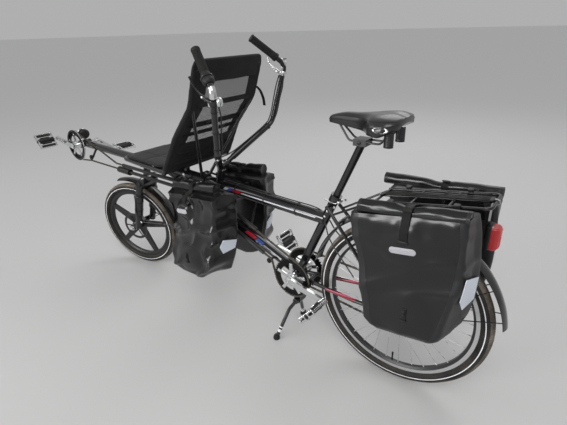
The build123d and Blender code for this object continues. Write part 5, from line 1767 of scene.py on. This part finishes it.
# Lamps
def lamps():
    """The headlamp's rim and glass, and the tall ribbed rear lamp on its black back."""
    shape = Shape()
    front = Vector((2003, 0, 718))
    ahead = Vector((1, 0, 0))
    shape.lathe([(-9, 27.2), (-8, 28.4), (-2, 29.0), (1.2, 28.0), (1.8, 25.6), (0.2, 24.6), (-2, 24.4)],
                front, ahead, 48, 0,
                caps=(False, False))
    shape.lathe([(-3, 24.6), (-2.6, 18), (-5, 12), (-9, 7), (-10, 0.1)], front, ahead, 40, 0,
                caps=(False, True))
    shape.lathe([(-1, 24.4), (0.6, 22), (2.2, 15), (3.0, 8), (3.2, 0.1)], front, ahead, 40, 1,
                caps=(False, True))
    for k in range(3):
        shape.lathe([(0, 26.9), (0, 27.8), (1.6, 27.8), (1.6, 26.9)], front - ahead * (22 + k * 4), ahead, 40,
                    2)
    shape.bolt(front + Vector((-26, 6, -34)), (0, 1, 0), 4.0, 3.5, 0)
    shape.piece("headlamp_rim_and_glass", "frame", ["silver", "glass", "plastic"], (), 40, "lamp")
    rear = Shape()
    rear.block((14, 52, 75), (-252.6, 0, 677.5), 3, 0)
    rear.block((5, 30, 6), (-252, 0, 717.5), 1.5, 0)
    rings = []
    for inset, x in ((0, -259), (0, -272), (2.5, -279), (8, -283.5)):
        ring = []
        half = 25 - inset
        low = 641.5 + inset
        high = 713.5 - inset
        radius = 6.0
        for cy, cz, turn in ((half - radius, high - radius, 0), (radius - half, high - radius, 90),
                             (radius - half, low + radius, 180), (half - radius, low + radius, 270)):
            for k in range(5):
                a = math.radians(turn + 22.5 * k)
                ring.append(Vector((x, cy + radius * math.cos(a), cz + radius * math.sin(a))))
        rings.append(ring)
    rear.rings(rings, 1)
    for k in range(9):
        z = 651 + k * 6.6
        rear.tube([Vector((-280.6, -20, z)), Vector((-284.0, -12, z)), Vector((-284.0, 12, z)),
                   Vector((-280.6, 20, z))],
                  1.1, 8, 1)
    rear.lathe([(0, 9), (1.4, 9), (1.4, 7.2), (0.4, 6), (0.4, 0.1)], (-283.4, 0, 694), (-1, 0, 0), 24, 2)
    for z in (646, 709):
        rear.bolt((-259, 0, z), (-1, 0, 0), 3, 2.0, 2)
    rear.piece("rear_lamp_lens", "frame", ["plastic", "red", "silver"], ["rear_light"], 40, "red_lens")


lamps()


# Fork, guards and stand
def on_steer(height):
    return STEER_FOOT + STEER_DIR * ((height - STEER_FOOT.z) / STEER_DIR.z)


def fork_fittings():
    """Seals and caps on the fork's legs, axle nuts, caliper bolts, its hose, and the mudguard's bolts."""
    shape = Shape()
    for side in (-1, 1):
        off = Vector((0, side * 58, 0))
        for height, turn in ((470, 1), (345, -1)):
            ring = [(-3, 17.2), (-3, 20.6), (-1, 21.4), (1.5, 21.0), (3.5, 18.6), (3.5, 17.2)]
            shape.lathe(ring, on_steer(height) + off, STEER_DIR * turn, 32, 0, place=FORK_TURN)
        shape.lathe([(-1, 15.5), (1.5, 15.5), (3, 14.2), (3, 9.5), (5.5, 9.0), (6.5, 8.0), (6.5, 0.1)],
                    on_steer(523) + STEER_DIR * 11 + off, STEER_DIR, 28, 1, place=FORK_TURN)
        axle = FRONT_AXLE + Vector((0, side * 62, 0))
        across = Vector((0, side, 0))
        shape.lathe([(0, 13), (1.6, 13), (1.6, 9.6), (9, 9.4), (10, 8.4), (10, 4.2), (15, 4.0), (15.6, 3.2),
                     (15.6, 0.1)],
                    axle, across, 6 if side < 0 else 24, 2, place=FORK_TURN)
        bolt = on_steer(300) + off + Vector((-21, side * 2.5, 0))
        shape.lathe([(0, 3.5), (0, 6.4), (3, 6.4), (4, 5)], bolt, across, 12, 2, place=FORK_TURN)
        shape.bolt(bolt + across * 3.6, across, 4.2, 3.0, 2, FORK_TURN)
    for step, lean in ((-16, 134), (16, 134)):
        a = math.radians(lean)
        foot = FRONT_AXLE + Vector((76 * math.cos(a), 46, 76 * math.sin(a)))
        foot += Vector((-math.sin(a), 0, math.cos(a))) * step
        shape.bolt(foot, (0, 1, 0), 5.0, 4.0, 2, FORK_TURN)
    a = math.radians(134)
    pad = FRONT_AXLE + Vector((76 * math.cos(a), 46, 76 * math.sin(a)))
    shape.lathe([(-1, 12), (1.4, 12), (2.2, 10.5), (2.2, 0.1)], pad, (0, 1, 0), 24, 1, place=FORK_TURN)
    hose = [on_steer(560) + Vector((16, 20, 0)), on_steer(535) + Vector((26, 44, 0)),
            on_steer(505) + Vector((20, 78, 0)),
            on_steer(440) + Vector((6, 83, 0)), on_steer(380) + Vector((0, 83, 0)),
            on_steer(340) + Vector((-8, 76, 0)),
            pad + Vector((6, 8, 14))]
    shape.tube(smooth_path(hose, 8), 2.4, 10, 3, place=FORK_TURN)
    for height in (430, 380):
        ring = on_steer(height) + Vector((0, 58, 0))
        shape.lathe([(-2, 21.6), (-2, 23), (2, 23), (2, 21.6)], ring, STEER_DIR, 28, 0, place=FORK_TURN)
    shape.piece("fork_seals_and_bolts", "fork", ["plastic", "satin", "silver", "cable"], (), 40,
                "black_metal")
    rotor = Shape()
    for number in range(6):
        a = math.radians(60 * number + 30)
        rotor.bolt(FRONT_AXLE + Vector((19 * math.cos(a), 37, 19 * math.sin(a))), (0, 1, 0), 3.4, 2.2, 0,
                   FORK_TURN)
    valve = FRONT_AXLE + Vector((math.cos(math.radians(245)), 0, math.sin(math.radians(245)))) * 186
    inward = (FRONT_AXLE - valve).normalized()
    rotor.lathe([(-2, 4.4), (1, 4.4), (2, 3.2), (22, 3.0), (22, 3.6), (30, 3.6), (31, 2.4), (31, 0.1)], valve,
                inward, 12, 1,
                place=FORK_TURN)
    rotor.piece("rotor_bolts_and_valve", "front_wheel", ["steel", "plastic"], (), 40, "steel")


fork_fittings()


def rear_wheel_fittings():
    """Spoke nipples, valve, hub flange edges and axle nuts of the rear wheel."""
    shape = Shape()
    for number in range(32):
        side = 1 if number % 2 else -1
        lead = 62 if number % 4 < 2 else -62
        angle = 360 / 32 * (number + 0.5)
        hub_angle = math.radians(angle + lead)
        rim_angle = math.radians(angle)
        start = Vector((27 * math.cos(hub_angle), side * 32.5, 27 * math.sin(hub_angle)))
        end = Vector((263.5 * math.cos(rim_angle), side * 3, 263.5 * math.sin(rim_angle)))
        along = (start - end).normalized()
        shape.lathe([(-2, 3.2), (0.6, 3.0), (1.6, 2.1), (11, 1.9), (12, 1.2)], REAR_AXLE + end, along, 8, 0)
        shape.lathe([(-1, 2.6), (1, 2.6), (2, 1.4)], REAR_AXLE + start + Vector((0, side * 1.5, 0)),
                    (0, side, 0), 8, 0)
    valve = REAR_AXLE + Vector((0, 0, -262))
    shape.lathe([(-2, 4.4), (1, 4.4), (2, 3.2), (24, 3.0), (24, 3.8), (34, 3.8), (35, 2.4), (35, 0.1)], valve,
                (0, 0, 1), 12, 1)
    for side in (-1, 1):
        across = Vector((0, side, 0))
        nut = REAR_AXLE + across * 74.2
        shape.lathe([(0, 11), (1.6, 11), (1.6, 9.2), (7.6, 9.2), (8.2, 8.4), (8.2, 5)], nut, across, 6, 0)
        shape.lathe([(6, 4.6), (14, 4.6), (14.6, 3.8), (14.6, 0.1)], nut, across, 16, 0)
    shape.piece("rear_nipples_valve_and_nuts", "rear_wheel", ["steel", "plastic"], (), 40, "steel")


rear_wheel_fittings()


def stand_fittings():
    """Pale bands and moulded feet on the stand's legs, and its springs."""
    shape = Shape()
    for side in (-1, 1):
        bend = Vector((463, side * 45, 131))
        foot = Vector((490, side * 106, 6))
        for low, high in ((0.60, 0.645), (0.70, 0.79)):
            shape.tube([bend.lerp(foot, low), bend.lerp(foot, high)], 8.7, 18, 0)
        base = Vector((490, side * 106, 0))
        shape.lathe([(0, 12), (0.2, 14.2), (3, 14.6), (5, 13.8), (7, 14.6), (10, 14.0), (15, 13.2),
                     (20, 10.5), (22, 8.2)], base,
                    (0, 0, 1), 28, 1)
    shape.piece("stand_bands_and_feet", "centre_stand", ["reflex", "rubber"], (), 40, "black_metal")


stand_fittings()


# Small fittings on the frame
def frame_fittings():
    """Seat collar with its lever, bolts, collars, ferrules and caps along the frame."""
    shape = Shape()
    lean = (on_seat_tube(500) - on_seat_tube(400)).normalized()
    collar = on_seat_tube(412)
    shape.lathe([(-10, 17.6), (-10, 20.4), (-9, 21.2), (9, 21.2), (10, 20.4), (10, 14)], collar, lean, 36, 1)
    back = Vector((-lean.z, 0, lean.x))
    for side in (-1, 1):
        shape.lathe([(0, 4), (0, 6), (8, 6), (9, 5), (9, 2)], collar + back * 22 + Vector((0, side * 6, 0)),
                    (0, side, 0), 16, 0)
    lever = [collar + back * 22 + Vector((0, 16, 0)), collar + back * 12 + Vector((0, 24, -4)),
             collar - back * 12 + Vector((0, 26, -10)), collar - back * 34 + Vector((0, 23, -16))]
    shape.tube(smooth_path(lever, 6), [4.2] * 5 + [3.6] * 8 + [4.6] * 6, 12, 0, flat=0.6)
    for distance in (330, 356):
        foot = on_seat_tube(distance) + Vector((0, 17, 0))
        shape.bolt(foot, (0, 1, 0), 5.0, 4.0, 0)
    for x, reach in ((1466, 22.4), (1424, 25.8)):
        direction = Vector((1138, 0, 54)).normalized()
        centre = beam_point(x)
        shape.lathe([(-4, reach - 2), (-4, reach + 1.4), (-3, reach + 2.2), (3, reach + 2.2),
                     (4, reach + 1.4), (4, reach - 2)], centre,
                    direction, 40, 1)
    for x in (1432, 1446):
        shape.bolt(beam_point(x, 0, -26), (0, 0, -1), 4.4, 5, 0)
    for x in (1085, 1315):
        for side in (-1, 1):
            shape.bolt(beam_point(x, side * 25.2, 4), (0, side, 0), 5.2, 4.0, 0)
            shape.lathe([(0, 9), (1.2, 9), (1.2, 5)], beam_point(x, side * 24.6, 4), (0, side, 0), 18, 0)
    collar_z = beam_point(960)
    for side in (-1, 1):
        shape.bolt(collar_z + Vector((0, side * 31, 0)), (0, side, 0), 5.0, 4.0, 0)
        shape.bolt(Vector((803, side * 184, 1003)), (0, side, 0.2), 5.5, 5.0, 0)
    radius = 18.6
    for point in (on_steer(670), on_steer(562)):
        turn = STEER_DIR if point.z > 600 else -STEER_DIR
        shape.lathe([(-9, radius), (-9, radius + 1.6), (-2, radius + 2.2), (-0.4, radius + 1.6),
                     (-0.2, radius - 1)], point, turn, 36, 0)
    for centre, y in ((REAR_BB, 34.2), (FRONT_BB, 34.2)):
        for side in (-1, 1):
            across = Vector((0, side, 0))
            shape.lathe([(-6, 21.2), (-6, 22.6), (-1, 22.6), (-0.2, 21.8), (-0.2, 19.6)], centre + across * y,
                        across, 36, 1)
    for side in (-1, 1):
        shape.bolt(Vector((-14, side * 84, 350.5)), (0, side, 0), 5.0, 4.0, 0)
        shape.lathe([(0, 3), (0, 6.4), (2.6, 6.4), (3.4, 5)], Vector((-30, side * 73, 330.5)), (0, side, 0),
                    12, 0)
        shape.bolt(Vector((253, side * 42, 666)), (0, side, 0), 4.6, 4.0, 0)
    shape.piece("frame_bolts_and_collars", "frame", ["silver", "satin"], (), 40, "silver")


frame_fittings()


def rack_fittings():
    """Rubber straps with their hook along the rear rack's deck, and caps on its rails."""
    shape = Shape()
    slope = math.radians(8.8)
    along = Vector((-math.cos(slope), 0, math.sin(slope)))
    up = Vector((math.sin(slope), 0, math.cos(slope)))
    origin = Vector((90, 0, 735))
    for y in (-13, 0, 13):
        points = [origin + along * d + up * (8.2 + 2.0 * math.sin(math.pi * d / 340)) + Vector((0, y * w, 0))
                  for d, w in ((6, 0.5), (40, 1.0), (120, 1.0), (210, 1.0), (300, 1.0), (335, 0.5))]
        shape.tube(smooth_path(points, 6), 3.0, 10, 0, flat=0.55)
    for d in (4, 339):
        shape.block((12, 34, 6), origin + along * d + up * 7.5, 2.2, 1, None, along, up)
    hook = [origin + along * 344 + up * 8, origin + along * 356 + up * 5, origin + along * 358 - up * 4,
            origin + along * 351 - up * 8]
    shape.tube(smooth_path(hook, 6), 2.2, 10, 2)
    shape.tube(smooth_path([origin + along * 2 + up * 8, origin - along * 9 + up * 4,
                            origin - along * 8 - up * 6], 6), 2.2, 10, 2)
    shape.piece("rack_rubber_straps", "frame", ["rubber", "plastic", "steel"], (), 40, "rubber")


rack_fittings()


# Stage
def plain_stage():
    """A pale floor without an end, and plain soft light."""
    mesh = bpy.data.meshes.new("studio_floor")
    far = 150.0
    mesh.from_pydata([(-far, -far, 0), (far, -far, 0), (far, far, 0), (-far, far, 0)], [], [(0, 1, 2, 3)])
    floor = bpy.data.objects.new("studio_floor", mesh)
    bpy.context.scene.collection.objects.link(floor)
    material = bpy.data.materials.new("studio_floor")
    material.use_nodes = True
    shader = material.node_tree.nodes["Principled BSDF"]
    shader.inputs["Base Color"].default_value = (0.60, 0.595, 0.585, 1)
    shader.inputs["Roughness"].default_value = 0.9
    shader.inputs["Specular IOR Level"].default_value = 0.2
    mesh.materials.append(material)
    world = bpy.data.worlds.new("studio")
    world.use_nodes = True
    bpy.context.scene.world = world
    w = Wiring(world.node_tree)
    background = world.node_tree.nodes["Background"]
    path = w.add("ShaderNodeLightPath").outputs
    shiny = w.sum("MAXIMUM", path["Is Glossy Ray"], path["Is Transmission Ray"])
    seen = w.sum("MAXIMUM", path["Is Camera Ray"], shiny)
    w.tree.links.new(w.mix(seen, (0.60, 0.605, 0.62, 1), (0.43, 0.43, 0.43, 1)), background.inputs["Color"])
    background.inputs["Strength"].default_value = 1.0
    for name, place, aim, size, power, spread in (
        ("key_light", (-1.4, 2.8, 4.2), (0.8, 0, 0.5), 2.6, 66, 180),
        ("fill_light", (4.2, 2.6, 3.0), (1.2, 0, 0.6), 2.2, 22, 180),
        ("back_light", (1.2, -3.6, 3.8), (0.8, 0, 0.6), 2.8, 34, 180),
        ("side_light", (1.9, 4.2, 1.5), (0.6, 0, 0.75), 2.0, 10, 50),
    ):
        data = bpy.data.lights.new(name, "AREA")
        data.shape = "DISK"
        data.size = size
        data.energy = power
        data.spread = math.radians(spread)
        lamp = bpy.data.objects.new(name, data)
        bpy.context.scene.collection.objects.link(lamp)
        direction = Vector(aim) - Vector(place)
        lamp.location = place
        lamp.rotation_euler = direction.to_track_quat("-Z", "Y").to_euler()


plain_stage()
bpy.context.scene.view_settings.view_transform = "Standard"
